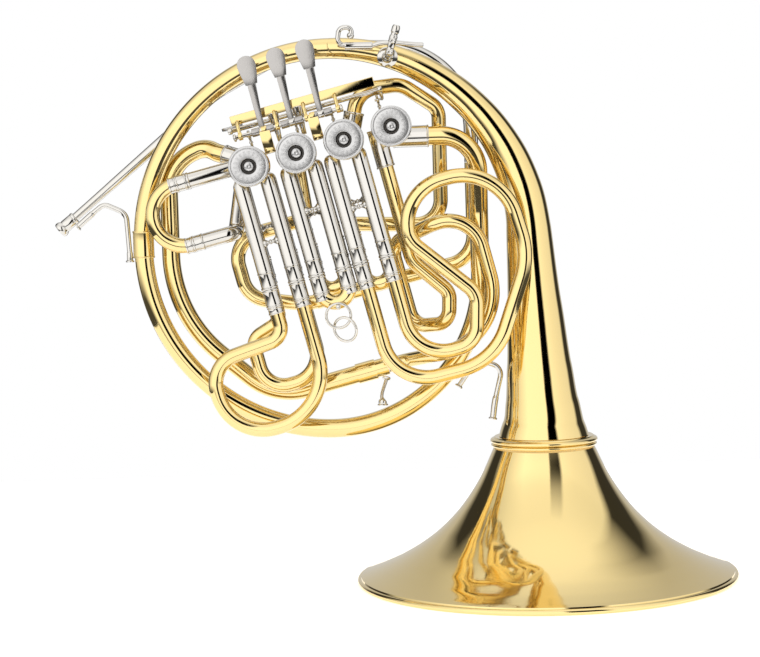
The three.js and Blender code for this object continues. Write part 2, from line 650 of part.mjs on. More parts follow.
const RECEIVER_X = -389;
const RECEIVER_Z = 294;
const RECEIVER_LENGTH = 17;
const RECEIVER_TUBE = 5.4;
const RECEIVER_BORE = 4;
const PIPE_START = 3.6;
const PIPE_END = 6.2;
const PIPE_SLOPE = THREE.MathUtils.degToRad(39.5);

function addLeadpipe({ backRight, backTop }) {
  const along = (distance, depth) => [
    RECEIVER_X + distance * Math.cos(PIPE_SLOPE), depth, RECEIVER_Z + distance * Math.sin(PIPE_SLOPE),
  ];
  const depth = BACK_DEPTH;
  const pipeRoute = [
    at(...along(RECEIVER_LENGTH + GAP, depth)),
    at(...along(60, depth)),
    turn(...along(168, depth), 120),
    turn(-190, depth + 2, COIL_TOP + 4, 120),
    turn(backRight, depth + 2, COIL_TOP - 2, 68),
    at(backRight, depth + 2, backTop + GAP),
  ];
  const taper = [[0, PIPE_START], [150, PIPE_START + 1.4], [420, PIPE_END], [600, PIPE_END]];
  addPiece('leadpipe', bentTube(pipeRoute, { taper }), nickelSilver());

  const tip = along(0, depth);
  const blank = bentTube([
    at(...tip, RECEIVER_TUBE + 1.1),
    at(...along(4, depth), RECEIVER_TUBE),
    at(...along(RECEIVER_LENGTH, depth)),
  ], { wall: 0, sides: 12 });
  const bore = bentTube([
    at(...along(-1, depth)),
    at(...along(RECEIVER_LENGTH + 1, depth)),
  ], { wall: 0, sides: 12, taper: [[0, RECEIVER_BORE], [RECEIVER_LENGTH + 2, PIPE_START - TUBE_WALL]] });
  addPiece('mouthpiece_receiver', build([blank], [bore]), nickelSilver());
}

// ---------------------------------------------------------------- braces

const STRIP_RADIUS = 2.2;
const FOOT_RADIUS = 2.6;
const PAD_RADIUS = 3.4;
const PAD_THICKNESS = 3.2;
const STRUT_RADIUS = 1.5;
const STRUT_X = -130;

function addBraces() {
  const solidBend = (points) => bentTube(points, { wall: 0, sides: 6 });
  const pipeDepth = BACK_DEPTH;
  const receiverBrace = solidBend([
    at(-373, pipeDepth - 10, 297, FOOT_RADIUS),
    at(-360, pipeDepth - 10, 308, STRIP_RADIUS),
    turn(-351, pipeDepth - 10, 315, 7),
    turn(-333, pipeDepth - 12, 307, 10),
    at(-331, COIL_DEPTH, 276, FOOT_RADIUS),
    at(-331, COIL_DEPTH, 268),
  ]);
  addPiece('receiver_brace', receiverBrace, nickelSilver());

  const bellBrace = solidBend([
    at(-68, 0, 159, STRIP_RADIUS),
    turn(-53, 0, 180, 9),
    turn(-32, 0, 174, 9),
    at(-38, 0, 150, FOOT_RADIUS),
    at(-41, 0, 132),
  ]);
  addPiece('bell_brace', bellBrace, nickelSilver());

  const bendX = BRANCH_RIGHT - BRANCH_BEND;
  const bendZ = COIL_BOTTOM + BRANCH_BEND;
  const branchTop = bendZ - Math.sqrt((BRANCH_BEND - BRANCH_TUBE) ** 2 - (STRUT_X - bendX) ** 2);
  const coilStrut = solidBend([
    fromRow(at(CHANGE_START - 4, INNER_DEPTH, BOTTOM_RUN - INNER_COIL_TUBE - 2, STRUT_RADIUS)),
    at(STRUT_X, COIL_DEPTH, branchTop + 2.8 + PAD_THICKNESS, PAD_RADIUS),
    at(STRUT_X, COIL_DEPTH, branchTop + 2.8),
  ]);
  addPiece('coil_strut', coilStrut, nickelSilver());
}

// ---------------------------------------------------------------- levers and linkage

const HINGE_BORE = LEVER_ROD_RADIUS + GAP;
const HUB_HALF = 5;
const CRANK_RADIUS = 1.6;
const CRANK_SIDE = 3.6;
const LEVER_THICKNESS = 2;
const LINK_PIN_RADIUS = 1;
const TOP_EYE_BORE = 3.2;
const LOW_EYE_BORE = 3.5;
const EYE_WALL = 1.3;
const EYE_HALF = 1.1;
const STEM_RADIUS = 1.2;

function touchPlate(x) {
  const half = TOUCH_WIDTH / 2;
  const outline = new THREE.Shape();
  outline.moveTo(x - 2.4, LEVER_ROD_HEIGHT);
  outline.lineTo(x + 2.4, LEVER_ROD_HEIGHT);
  outline.lineTo(x + 5.4, LEVER_ROD_HEIGHT + LEVER_REACH - 24);
  outline.lineTo(x + 2 + half, LEVER_ROD_HEIGHT + LEVER_REACH - 9);
  outline.absarc(x + 2, LEVER_ROD_HEIGHT + LEVER_REACH - half, half, 0, Math.PI, false);
  outline.lineTo(x - 1, LEVER_ROD_HEIGHT + LEVER_REACH - 24);
  outline.closePath();
  const plate = new THREE.ExtrudeGeometry(outline, { depth: LEVER_THICKNESS, bevelEnabled: false, curveSegments: 8 });
  plate.rotateX(Math.PI / 2);
  plate.translate(0, LEVER_ROD_DEPTH + LEVER_THICKNESS / 2, 0);
  return plate;
}

function addLever(index) {
  const x = LEVER_POSITIONS[index];
  const pinX = stopPinX(index);
  const side = Math.sign(x - pinX);
  const crankX = pinX + side * CRANK_SIDE;
  const hub = rod([x - HUB_HALF, LEVER_ROD_DEPTH, LEVER_ROD_HEIGHT], [x + HUB_HALF, LEVER_ROD_DEPTH, LEVER_ROD_HEIGHT],
    LEVER_HUB_RADIUS);
  const bore = rod([x - HUB_HALF - 1, LEVER_ROD_DEPTH, LEVER_ROD_HEIGHT],
    [x + HUB_HALF + 1, LEVER_ROD_DEPTH, LEVER_ROD_HEIGHT], HINGE_BORE);
  const crank = rod([x, LEVER_ROD_DEPTH + LEVER_HUB_RADIUS - 1, LEVER_ROD_HEIGHT],
    [crankX, LINK_DEPTH, LEVER_ROD_HEIGHT], CRANK_RADIUS, 6);
  const pin = rod([crankX + 0.8 * side, LINK_DEPTH, LEVER_ROD_HEIGHT],
    [pinX - 2.4 * side, LINK_DEPTH, LEVER_ROD_HEIGHT], LINK_PIN_RADIUS, 6);
  addPiece(`finger_lever_${index + 1}`, build([hub, touchPlate(x), crank, pin], [bore]), nickelSilver(), valveRow);
}

function addLink(index) {
  const x = stopPinX(index);
  const eye = (inner) => turned([
    [inner, -EYE_HALF], [inner + EYE_WALL, -EYE_HALF], [inner + EYE_WALL, EYE_HALF],
    [inner, EYE_HALF], [inner, -EYE_HALF],
  ], 0, 0, 10);
  const topEye = eye(TOP_EYE_BORE).rotateZ(Math.PI / 2).translate(x, LINK_DEPTH, LEVER_ROD_HEIGHT);
  const lowEye = eye(LOW_EYE_BORE).translate(x, LINK_DEPTH, STOP_PIN_OFFSET);
  const stemTop = LEVER_ROD_HEIGHT - TOP_EYE_BORE - 0.6;
  const stemBottom = STOP_PIN_OFFSET + LOW_EYE_BORE + 0.6;
  const stem = rod([x, LINK_DEPTH, stemTop], [x, LINK_DEPTH, stemBottom], STEM_RADIUS, 6);
  addPiece(`link_rod_${index + 1}`, build([topEye, lowEye, stem]), nickelSilver(), valveRow);
}

const THUMB_DEPTH = -16;
const THUMB_HEIGHT = 31;
const THUMB_START = -10;
const THUMB_CRANK_LEAD = 1.5;
const PADDLE_WIDTH = 17;
const PADDLE_LENGTH = 22;
const PADDLE_THICKNESS = 2.2;
const PADDLE_DEPTH = 30;
const BRIDGE_DEPTH = -24;
const BRIDGE_LOW = 34;
const BRIDGE_HIGH = 42;
const BRIDGE_THICKNESS = 2.4;
const POST_WIDTH = 3;
const FOOT_OFFSET = 10;

function addLeverGear() {
  LEVER_POSITIONS.forEach((_, index) => addLever(index));
  [0, 1, 2, 3].forEach(addLink);

  const rodStart = -6;
  const rodEnd = LEVER_POSITIONS[2] + 18;
  addPiece('lever_rod', rod([rodStart, LEVER_ROD_DEPTH, LEVER_ROD_HEIGHT], [rodEnd, LEVER_ROD_DEPTH, LEVER_ROD_HEIGHT],
    LEVER_ROD_RADIUS), nickelSilver(), valveRow);

  const bridge = new THREE.BoxGeometry(rodEnd + 8, BRIDGE_THICKNESS, BRIDGE_HIGH - BRIDGE_LOW);
  bridge.translate(rodEnd / 2 - 1, BRIDGE_DEPTH, (BRIDGE_LOW + BRIDGE_HIGH) / 2);
  const between = (a, b) => (LEVER_POSITIONS[a] + LEVER_POSITIONS[b]) / 2;
  const postPositions = [rodStart + 4, between(0, 1), between(1, 2), rodEnd - 4];
  const posts = postPositions.flatMap((x) => {
    const arm = new THREE.BoxGeometry(POST_WIDTH, BRIDGE_DEPTH - LEVER_ROD_DEPTH, POST_WIDTH);
    arm.translate(x, (BRIDGE_DEPTH + LEVER_ROD_DEPTH) / 2, BRIDGE_LOW + 1.4);
    const drop = new THREE.BoxGeometry(POST_WIDTH, POST_WIDTH, BRIDGE_LOW - LEVER_ROD_HEIGHT + 2);
    drop.translate(x, LEVER_ROD_DEPTH, (BRIDGE_LOW + LEVER_ROD_HEIGHT) / 2 + 1);
    const knuckle = rod([x - 2, LEVER_ROD_DEPTH, LEVER_ROD_HEIGHT], [x + 2, LEVER_ROD_DEPTH, LEVER_ROD_HEIGHT],
      LEVER_HUB_RADIUS);
    return [arm, drop, knuckle];
  });
  const footEnd = Math.sqrt(CASING_RADIUS ** 2 - FOOT_OFFSET ** 2) + 1.6;
  const feet = [VALVE_PITCH - FOOT_OFFSET, VALVE_PITCH + FOOT_OFFSET].map(
    (x) => rod([x, BRIDGE_DEPTH, BRIDGE_LOW + 1], [x, BRIDGE_DEPTH, footEnd], BRACE_RADIUS, 6),
  );
  const bore = rod([rodStart - 1, LEVER_ROD_DEPTH, LEVER_ROD_HEIGHT], [rodEnd + 1, LEVER_ROD_DEPTH, LEVER_ROD_HEIGHT],
    HINGE_BORE);
  addPiece('lever_bridge', build([bridge, ...posts, ...feet], [bore]), lacqueredBrass(), valveRow);

  const crankX = stopPinX(3) + CRANK_SIDE;
  const shaft = rod([THUMB_START, THUMB_DEPTH, THUMB_HEIGHT], [crankX, THUMB_DEPTH, THUMB_HEIGHT], 2);
  const drop = rod([crankX, THUMB_DEPTH, THUMB_HEIGHT], [crankX, THUMB_DEPTH, LEVER_ROD_HEIGHT - 0.8], 1.9, 6);
  const crankEnd = LINK_DEPTH + THUMB_CRANK_LEAD;
  const crank = rod([crankX, THUMB_DEPTH, LEVER_ROD_HEIGHT], [crankX, crankEnd, LEVER_ROD_HEIGHT], CRANK_RADIUS, 6);
  const pin = rod([crankX + 0.8, crankEnd, LEVER_ROD_HEIGHT],
    [stopPinX(3) - 2.4, crankEnd, LEVER_ROD_HEIGHT], LINK_PIN_RADIUS, 6);
  const arm = rod([THUMB_START + 2, THUMB_DEPTH, THUMB_HEIGHT], [THUMB_START + 2, 24, THUMB_HEIGHT + 3], 2, 6);
  const paddle = new THREE.BoxGeometry(PADDLE_WIDTH, PADDLE_LENGTH, PADDLE_THICKNESS);
  paddle.translate(THUMB_START + 2, PADDLE_DEPTH, THUMB_HEIGHT + 3.4);
  addPiece('thumb_lever', build([shaft, drop, crank, pin, arm, paddle]), nickelSilver(), valveRow);
}

// ---------------------------------------------------------------- pinky hook and pull rings

const HOOK_ROD_RADIUS = 2;
const HOOK_DEPTH = -21;
const HOOK_HEIGHT = 434.5;
const CLAMP_RADIUS = 3.4;
const FLANGE_RADIUS = 7.4;

function addPinkyHook() {
  const hook = bentTube([
    at(-90, HOOK_DEPTH, HOOK_HEIGHT - 0.5, HOOK_ROD_RADIUS),
    at(-129, HOOK_DEPTH, HOOK_HEIGHT, HOOK_ROD_RADIUS + 1.2),
    turn(-158, HOOK_DEPTH, HOOK_HEIGHT + 1.5, 5),
    turn(-156, HOOK_DEPTH, HOOK_HEIGHT + 15, 5),
    turn(-144, HOOK_DEPTH, HOOK_HEIGHT + 15, 4),
    at(-147, HOOK_DEPTH, HOOK_HEIGHT + 8.5),
  ], { wall: 0 });
  addPiece('pinky_hook', hook, nickelSilver());

  const foot = [-118, -11.5, 426];
  const top = [-110.5, -22, 449];
  const flange = rod(foot, [-118.4, -14, 425.4], FLANGE_RADIUS, 12);
  const post = bentTube([at(-118.2, -13, 425.8, CLAMP_RADIUS), turn(-117, -21.5, 428, 3), at(...top)], { wall: 0 });
  const bore = rod([-60, HOOK_DEPTH, HOOK_HEIGHT - 0.6], [-128.9, HOOK_DEPTH, HOOK_HEIGHT], HOOK_ROD_RADIUS + GAP);
  addPiece('hook_post', build([flange, post], [bore]), nickelSilver());
}

function addPullRings(stud) {
  const hang = PULL_RING_RADIUS - RING_WIRE - STUD_RADIUS - GAP;
  const firstCentre = stud.clone().add(new THREE.Vector3(0, 0, -hang));
  const ring = () => new THREE.TorusGeometry(PULL_RING_RADIUS, RING_WIRE, 5, 16).rotateX(Math.PI / 2);
  addPiece('pull_ring_1', ring().translate(...firstCentre), nickelSilver());

  const offset = new THREE.Vector3(5, 0, -11);
  const twist = new THREE.Quaternion().setFromAxisAngle(offset.clone().normalize(), THREE.MathUtils.degToRad(28));
  const second = ring().applyQuaternion(twist).translate(...firstCentre.clone().add(offset));
  addPiece('pull_ring_2', second, nickelSilver());
}

// ---------------------------------------------------------------- assembly

addBell();
[0, 1, 2, 3].forEach(addValve);
const stud = addFrontSlides();
addRearSlides();
addTuningSlide();
addLeadpipe(addBranches());
addBraces();
addLeverGear();
addPinkyHook();
addPullRings(stud);

const bounds = new THREE.Box3().setFromObject(horn, true);
const middle = bounds.getCenter(new THREE.Vector3());
horn.position.set(-middle.x, -middle.y, -bounds.min.z);
horn.updateMatrixWorld(true);

export default horn;
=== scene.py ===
"""The finished looks of a double French horn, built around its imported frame."""
import json
import logging
import math
from collections.abc import Iterable, Sequence
from dataclasses import dataclass, field
from enum import Enum
from functools import cached_property
from itertools import pairwise

import bpy
from mathutils import Matrix, Vector
from mathutils.kdtree import KDTree


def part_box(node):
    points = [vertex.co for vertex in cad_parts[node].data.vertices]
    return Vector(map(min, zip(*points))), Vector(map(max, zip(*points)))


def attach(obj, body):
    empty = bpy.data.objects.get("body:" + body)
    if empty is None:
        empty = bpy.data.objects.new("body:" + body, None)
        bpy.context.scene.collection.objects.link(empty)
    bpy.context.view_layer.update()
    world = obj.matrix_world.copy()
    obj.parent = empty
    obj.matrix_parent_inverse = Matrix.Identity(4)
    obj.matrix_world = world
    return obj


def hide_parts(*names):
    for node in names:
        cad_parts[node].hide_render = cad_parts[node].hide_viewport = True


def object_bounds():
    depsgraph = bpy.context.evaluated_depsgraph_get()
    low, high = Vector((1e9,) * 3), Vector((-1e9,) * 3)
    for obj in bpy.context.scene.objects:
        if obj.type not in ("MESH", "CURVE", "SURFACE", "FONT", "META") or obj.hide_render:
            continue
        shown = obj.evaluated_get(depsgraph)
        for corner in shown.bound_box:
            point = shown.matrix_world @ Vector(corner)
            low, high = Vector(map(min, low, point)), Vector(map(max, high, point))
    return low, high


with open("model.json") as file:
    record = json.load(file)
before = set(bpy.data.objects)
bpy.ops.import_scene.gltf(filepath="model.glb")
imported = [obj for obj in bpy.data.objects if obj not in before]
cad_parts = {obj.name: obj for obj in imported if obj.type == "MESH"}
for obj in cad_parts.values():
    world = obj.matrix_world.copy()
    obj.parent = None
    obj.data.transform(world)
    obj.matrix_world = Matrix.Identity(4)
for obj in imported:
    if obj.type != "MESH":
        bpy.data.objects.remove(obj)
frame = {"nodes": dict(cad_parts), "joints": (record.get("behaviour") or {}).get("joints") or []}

log = logging.getLogger("horn")
CAD_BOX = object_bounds()
ROOT = "horn"
Point = tuple[float, float]
STRAIGHT_BEND = 0.02
ARC_STEPS = 8
CASING_SIDES = 12
RING_STEPS = 64


class Metal(Enum):
    """The finishes that the horn is made in."""

    LACQUERED_BRASS = "lacquered_brass"
    NICKEL_SILVER = "nickel_silver"
    SATIN_NICKEL = "satin_nickel"
    BARE_BRASS = "bare_brass"
    CORK = "cork"


# ------------------------------------------------------------------ shader groups


@dataclass
class GroupBuilder:
    """Writes one shader node group with named inputs and outputs."""

    name: str
    inputs: Sequence[tuple[str, str, float]]
    outputs: Sequence[tuple[str, str]]

    def __post_init__(self) -> None:
        """Makes the empty group with its sockets."""
        self.tree = bpy.data.node_groups.new(self.name, "ShaderNodeTree")
        for label, kind, default in self.inputs:
            socket = self.tree.interface.new_socket(label, in_out="INPUT", socket_type=kind)
            if kind == "NodeSocketFloat":
                socket.default_value = default
        for label, kind in self.outputs:
            self.tree.interface.new_socket(label, in_out="OUTPUT", socket_type=kind)
        self.source = self.tree.nodes.new("NodeGroupInput")
        self.sink = self.tree.nodes.new("NodeGroupOutput")

    def add(self, kind: str, **values: object) -> bpy.types.Node:
        """Adds a node.

        Args:
            kind: The node type, without its ShaderNode prefix.
            values: Node properties by name, and input values by socket name with in_ in front.

        Returns:
            The node.
        """
        return add_node(self.tree, kind, **values)

    def link(self, start: bpy.types.NodeSocket, end: bpy.types.NodeSocket) -> None:
        """Joins an output socket to an input socket."""
        self.tree.links.new(start, end)


def add_node(tree: bpy.types.NodeTree, kind: str, **values: object) -> bpy.types.Node:
    """Adds a shader node to a tree.

    Args:
        tree: The node tree.
        kind: The node type, without its ShaderNode prefix.
        values: Node properties by name, and input values by socket name with in_ in front.

    Returns:
        The node.
    """
    node = tree.nodes.new("ShaderNode" + kind)
    for key, value in values.items():
        if key.startswith("in_"):
            label = key[3:]
            socket = node.inputs[int(label)] if label.isdigit() else node.inputs[label.replace("_", " ")]
            socket.default_value = value
        else:
            setattr(node, key, value)
    return node


def add_ramp(tree: bpy.types.NodeTree, stops: Sequence[tuple[float, float]]) -> bpy.types.Node:
    """Adds a grey colour ramp.

    Args:
        tree: The node tree.
        stops: Pairs of place and grey level, both from 0 to 1.

    Returns:
        The ramp node.
    """
    ramp = tree.nodes.new("ShaderNodeValToRGB")
    elements = ramp.color_ramp.elements
    while len(elements) < len(stops):
        elements.new(0.5)
    for element, (place, level) in zip(elements, stops):
        element.position = place
        element.color = (level, level, level, 1)
    return ramp


def reckon(
    tree: bpy.types.NodeTree, operation: str, *terms: bpy.types.NodeSocket | float, clamp: bool = False
) -> bpy.types.NodeSocket:
    """Adds a Math node.

    Args:
        tree: The node tree.
        operation: What the node works out.
        terms: Its inputs in order, each a number or a socket that feeds it.
        clamp: Whether the result is kept between 0 and 1.

    Returns:
        The node's result.
    """
    node = add_node(tree, "Math", operation=operation, use_clamp=clamp)
    for socket, term in zip(node.inputs, terms):
        if isinstance(term, bpy.types.NodeSocket):
            tree.links.new(term, socket)
        else:
            socket.default_value = term
    return node.outputs["Value"]


def within(
    tree: bpy.types.NodeTree, value: bpy.types.NodeSocket, limits: tuple[float, float]
) -> bpy.types.NodeSocket:
    """A mask that is 1 where a value lies between two limits, and 0 elsewhere."""
    above = reckon(tree, "GREATER_THAN", value, limits[0])
    below = reckon(tree, "LESS_THAN", value, limits[1])
    return reckon(tree, "MULTIPLY", above, below)


def handling_group() -> bpy.types.NodeTree:
    """Builds the group that marks where hands dull a polished metal, and where polish thins at random.

    Returns:
        The group, with the outputs Smudge, Cloud and Scratch.
    """
    builder = GroupBuilder(
        "handling",
        [
            ("Vector", "NodeSocketVector", 0), ("Patch Scale", "NodeSocketFloat", 18),
            ("Scratch Scale", "NodeSocketFloat", 900),
        ],
        [("Smudge", "NodeSocketFloat"), ("Cloud", "NodeSocketFloat"), ("Scratch", "NodeSocketFloat")],
    )
    vector = builder.source.outputs["Vector"]
    patches = builder.add("TexNoise", in_Detail=5.0, in_Roughness=0.62, in_Distortion=0.6)
    builder.link(vector, patches.inputs["Vector"])
    builder.link(builder.source.outputs["Patch Scale"], patches.inputs["Scale"])
    smudge = add_ramp(builder.tree, [(0.42, 0), (0.74, 1)])
    builder.link(patches.outputs["Fac"], smudge.inputs["Fac"])
    cloud = builder.add("TexNoise", in_Scale=6.0, in_Detail=2.0, in_Roughness=0.5)
    builder.link(vector, cloud.inputs["Vector"])
    stretch = builder.add("Mapping", in_Scale=(1.0, 1.0, 0.08))
    stretch.inputs["Rotation"].default_value = (0.4, 0.9, 0.3)
    builder.link(vector, stretch.inputs["Vector"])
    lines = builder.add("TexNoise", in_Detail=3.0, in_Roughness=0.7)
    builder.link(stretch.outputs["Vector"], lines.inputs["Vector"])
    builder.link(builder.source.outputs["Scratch Scale"], lines.inputs["Scale"])
    scratch = add_ramp(builder.tree, [(0.55, 0), (0.72, 1)])
    builder.link(lines.outputs["Fac"], scratch.inputs["Fac"])
    builder.link(smudge.outputs["Color"], builder.sink.inputs["Smudge"])
    builder.link(cloud.outputs["Fac"], builder.sink.inputs["Cloud"])
    builder.link(scratch.outputs["Color"], builder.sink.inputs["Scratch"])
    return builder.tree


# ------------------------------------------------------------------ finishes


@dataclass(frozen=True)
class Polish:
    """A polished metal with handling marks."""

    name: str
    tone: tuple[float, float, float]
    worn_tone: tuple[float, float, float]
    roughness: float
    dulled_and_painted_shade: float
    lacquer: float
    patch_scale: float = 18.0
    relief: float = 0.02

    def build(self, handling: bpy.types.NodeTree) -> bpy.types.Material:
        """Builds the material.

        Args:
            handling: The group that marks smudges, clouds and scratches.

        Returns:
            The material.
        """
        material = bpy.data.materials.new(self.name)
        material.use_nodes = True
        tree = material.node_tree
        shader = tree.nodes["Principled BSDF"]
        shader.inputs["Metallic"].default_value = 1.0
        shader.inputs["Coat Weight"].default_value = self.lacquer
        shader.inputs["Coat Roughness"].default_value = 0.03
        shader.inputs["Coat IOR"].default_value = 1.5
        place = add_node(tree, "TexCoord")
        marks = tree.nodes.new("ShaderNodeGroup")
        marks.node_tree = handling
        marks.inputs["Patch Scale"].default_value = self.patch_scale
        marks.inputs["Scratch Scale"].default_value = 700.0
        tree.links.new(place.outputs["Object"], marks.inputs["Vector"])
        tint = add_node(tree, "Mix", data_type="RGBA")
        tint.inputs["A"].default_value = (*self.tone, 1)
        tint.inputs["B"].default_value = (*self.worn_tone, 1)
        tree.links.new(marks.outputs["Cloud"], tint.inputs["Factor"])
        tree.links.new(tint.outputs["Result"], shader.inputs["Base Color"])
        gloss = add_node(tree, "MapRange", in_3=self.roughness, in_4=self.dulled_and_painted_shade)
        tree.links.new(marks.outputs["Smudge"], gloss.inputs["Value"])
        tree.links.new(gloss.outputs["Result"], shader.inputs["Roughness"])
        bump = add_node(tree, "Bump", in_Strength=self.relief, in_Distance=0.0002)
        tree.links.new(marks.outputs["Scratch"], bump.inputs["Height"])
        tree.links.new(bump.outputs["Normal"], shader.inputs["Normal"])
        return material


@dataclass(frozen=True)
class TurnedFace:
    """A face finished on the lathe: fine rings around the piece's axis, which lies along Y.

    The face may have a band of nicks, painted darker than the rest, and painted shade: a near-black ring on
    the sunk recess floor around its middle. Both are pairs of radii.
    """

    name: str
    tone: tuple[float, float, float]
    groove_scale: float
    relief: float
    roughness: float
    nicks: int = 0
    band: tuple[float, float] = (0.0090, 0.0118)
    # Radii of the painted shade: the sunk recess floor between them is coloured near-black.
    painted_shade_ring: tuple[float, float] = (0.0039, 0.0060)

    def build(self, centre: Vector) -> bpy.types.Material:
        """Builds the material.

        Args:
            centre: A point on the piece's axis.

        Returns:
            The material.
        """
        material = bpy.data.materials.new(self.name)
        material.use_nodes = True
        tree = material.node_tree
        shader = tree.nodes["Principled BSDF"]
        shader.inputs["Metallic"].default_value = 1.0
        place = add_node(tree, "TexCoord")
        shift = add_node(tree, "Mapping", in_Location=tuple(-c for c in centre), in_Scale=(1, 1, 1))
        tree.links.new(place.outputs["Object"], shift.inputs["Vector"])
        flat = add_node(tree, "VectorMath", operation="MULTIPLY")
        flat.inputs[1].default_value = (1, 0, 1)
        tree.links.new(shift.outputs["Vector"], flat.inputs[0])
        reach = add_node(tree, "VectorMath", operation="LENGTH")
        tree.links.new(flat.outputs["Vector"], reach.inputs[0])
        spread = add_node(tree, "CombineXYZ")
        tree.links.new(reach.outputs["Value"], spread.inputs["X"])
        rings = add_node(tree, "TexNoise", in_Scale=self.groove_scale, in_Detail=4.0, in_Roughness=0.7)
        tree.links.new(spread.outputs["Vector"], rings.inputs["Vector"])
        grain = add_node(tree, "TexNoise", in_Scale=1400.0, in_Detail=3.0, in_Roughness=0.6)
        tree.links.new(place.outputs["Object"], grain.inputs["Vector"])
        height = add_node(tree, "Mix", data_type="FLOAT", in_0=0.4)
        tree.links.new(rings.outputs["Fac"], height.inputs[2])
        tree.links.new(grain.outputs["Fac"], height.inputs[3])
        bump = add_node(tree, "Bump", in_Strength=self.relief, in_Distance=0.0003)
        parts = add_node(tree, "SeparateXYZ")
        tree.links.new(shift.outputs["Vector"], parts.inputs["Vector"])
        bearing = reckon(tree, "ARCTAN2", parts.outputs["X"], parts.outputs["Z"])
        swing = reckon(tree, "SINE", reckon(tree, "MULTIPLY", bearing, float(self.nicks)))
        nick = reckon(tree, "GREATER_THAN", swing, 0.25)
        cut = reckon(tree, "MULTIPLY", within(tree, reach.outputs["Value"], self.band), nick)
        sunk = reckon(tree, "MULTIPLY_ADD", cut, -0.9, height.outputs[0])
        tree.links.new(sunk, bump.inputs["Height"])
        tree.links.new(bump.outputs["Normal"], shader.inputs["Normal"])
        # The tone follows the lathe-ring noise and is darker in the engraved nicks.
        tint = add_node(tree, "Mix", data_type="RGBA")
        tint.inputs["A"].default_value = (*(0.76 * c for c in self.tone), 1)
        tint.inputs["B"].default_value = (*self.tone, 1)
        ring_tone_darker_in_nicks = reckon(tree, "MULTIPLY_ADD", cut, -0.8, rings.outputs["Fac"], clamp=True)
        tree.links.new(ring_tone_darker_in_nicks, tint.inputs["Factor"])
        # Painted shade: the sunk recess floor around the middle is mixed towards near-black.
        dulled_and_painted_shade = add_node(tree, "Mix", data_type="RGBA")
        dulled_and_painted_shade.inputs["B"].default_value = (0.06, 0.055, 0.05, 1)
        tree.links.new(within(tree, reach.outputs["Value"], self.painted_shade_ring), dulled_and_painted_shade.inputs["Factor"])
        tree.links.new(tint.outputs["Result"], dulled_and_painted_shade.inputs["A"])
        tree.links.new(dulled_and_painted_shade.outputs["Result"], shader.inputs["Base Color"])
        gloss = add_node(tree, "MapRange", in_3=self.roughness, in_4=self.roughness * 1.5)
        tree.links.new(grain.outputs["Fac"], gloss.inputs["Value"])
        tree.links.new(gloss.outputs["Result"], shader.inputs["Roughness"])
        return material


@dataclass(frozen=True)
class CorkFinish:
    """Cut cork, as the stop bumpers are made of."""

    name: str = "cork"

    def build(self) -> bpy.types.Material:
        """Builds the material."""
        material = bpy.data.materials.new(self.name)
        material.use_nodes = True
        tree = material.node_tree
        shader = tree.nodes["Principled BSDF"]
        place = add_node(tree, "TexCoord")
        cells = add_node(tree, "TexVoronoi", in_Scale=900.0)
        tree.links.new(place.outputs["Object"], cells.inputs["Vector"])
        tint = add_node(tree, "Mix", data_type="RGBA")
        tint.inputs["A"].default_value = (0.05, 0.03, 0.02, 1)
        tint.inputs["B"].default_value = (0.16, 0.10, 0.05, 1)
        tree.links.new(cells.outputs["Distance"], tint.inputs["Factor"])
        tree.links.new(tint.outputs["Result"], shader.inputs["Base Color"])
        rough = add_node(tree, "MapRange", in_3=0.75, in_4=0.95)
        tree.links.new(cells.outputs["Distance"], rough.inputs["Value"])
        tree.links.new(rough.outputs["Result"], shader.inputs["Roughness"])
        return material


@dataclass
class Finishes:
    """All the materials of the horn, each built once."""

    materials: dict[Metal, bpy.types.Material] = field(default_factory=dict)

    def build(self) -> None:
        """Builds the shared group and every material."""
        handling = handling_group()
        polishes = {
            Metal.LACQUERED_BRASS: Polish(
                "lacquered_brass", (0.88, 0.70, 0.33), (0.83, 0.63, 0.26), 0.04, 0.10, 0.4,
            ),
            Metal.NICKEL_SILVER: Polish(
                "nickel_silver", (0.70, 0.68, 0.64), (0.64, 0.61, 0.56), 0.05, 0.13, 0.2,
            ),
            Metal.SATIN_NICKEL: Polish(
                "satin_nickel", (0.48, 0.46, 0.44), (0.42, 0.40, 0.38), 0.2, 0.32, 0.0, relief=0.08,
            ),
            Metal.BARE_BRASS: Polish(
                "bare_brass", (0.62, 0.46, 0.20), (0.48, 0.34, 0.14), 0.22, 0.4, 0.0, relief=0.1,
            ),
        }
        self.materials = {metal: polish.build(handling) for metal, polish in polishes.items()}
        self.materials[Metal.CORK] = CorkFinish().build()

    def dress(self, piece: bpy.types.Object, metal: Metal) -> None:
        """Gives a piece one finish all over."""
        piece.data.materials.clear()
        piece.data.materials.append(self.materials[metal])


FINISHES = Finishes()


# ------------------------------------------------------------------ bench tools


def pick(*pieces: bpy.types.Object) -> None:
    """Selects these pieces and nothing else, and makes the first one active."""
    bpy.ops.object.select_all(action="DESELECT")
    for piece in pieces:
        piece.select_set(True)
    bpy.context.view_layer.objects.active = pieces[0]


def settle(piece: bpy.types.Object, place: Matrix | None = None) -> bpy.types.Object:
    """Moves a piece and bakes its place into its mesh, so that its object sits at the origin.

    Args:
        piece: The piece, made around the origin.
        place: Where it goes, or None to keep it where it is.

    Returns:
        The piece.
    """
    if place is not None:
        piece.matrix_world = place @ piece.matrix_world
    pick(piece)
    bpy.ops.object.transform_apply(location=True, rotation=True, scale=True)
    return piece


def finish_with(piece: bpy.types.Object, kind: str, **settings: object) -> None:
    """Adds a modifier and applies it.

    Args:
        piece: The piece.
        kind: The modifier's type.
        settings: The modifier's settings by name.
    """
    pick(piece)
    bpy.ops.object.modifier_add(type=kind)
    modifier = piece.modifiers[-1]
    for key, value in settings.items():
        setattr(modifier, key, value)
    bpy.ops.object.modifier_apply(modifier=modifier.name)


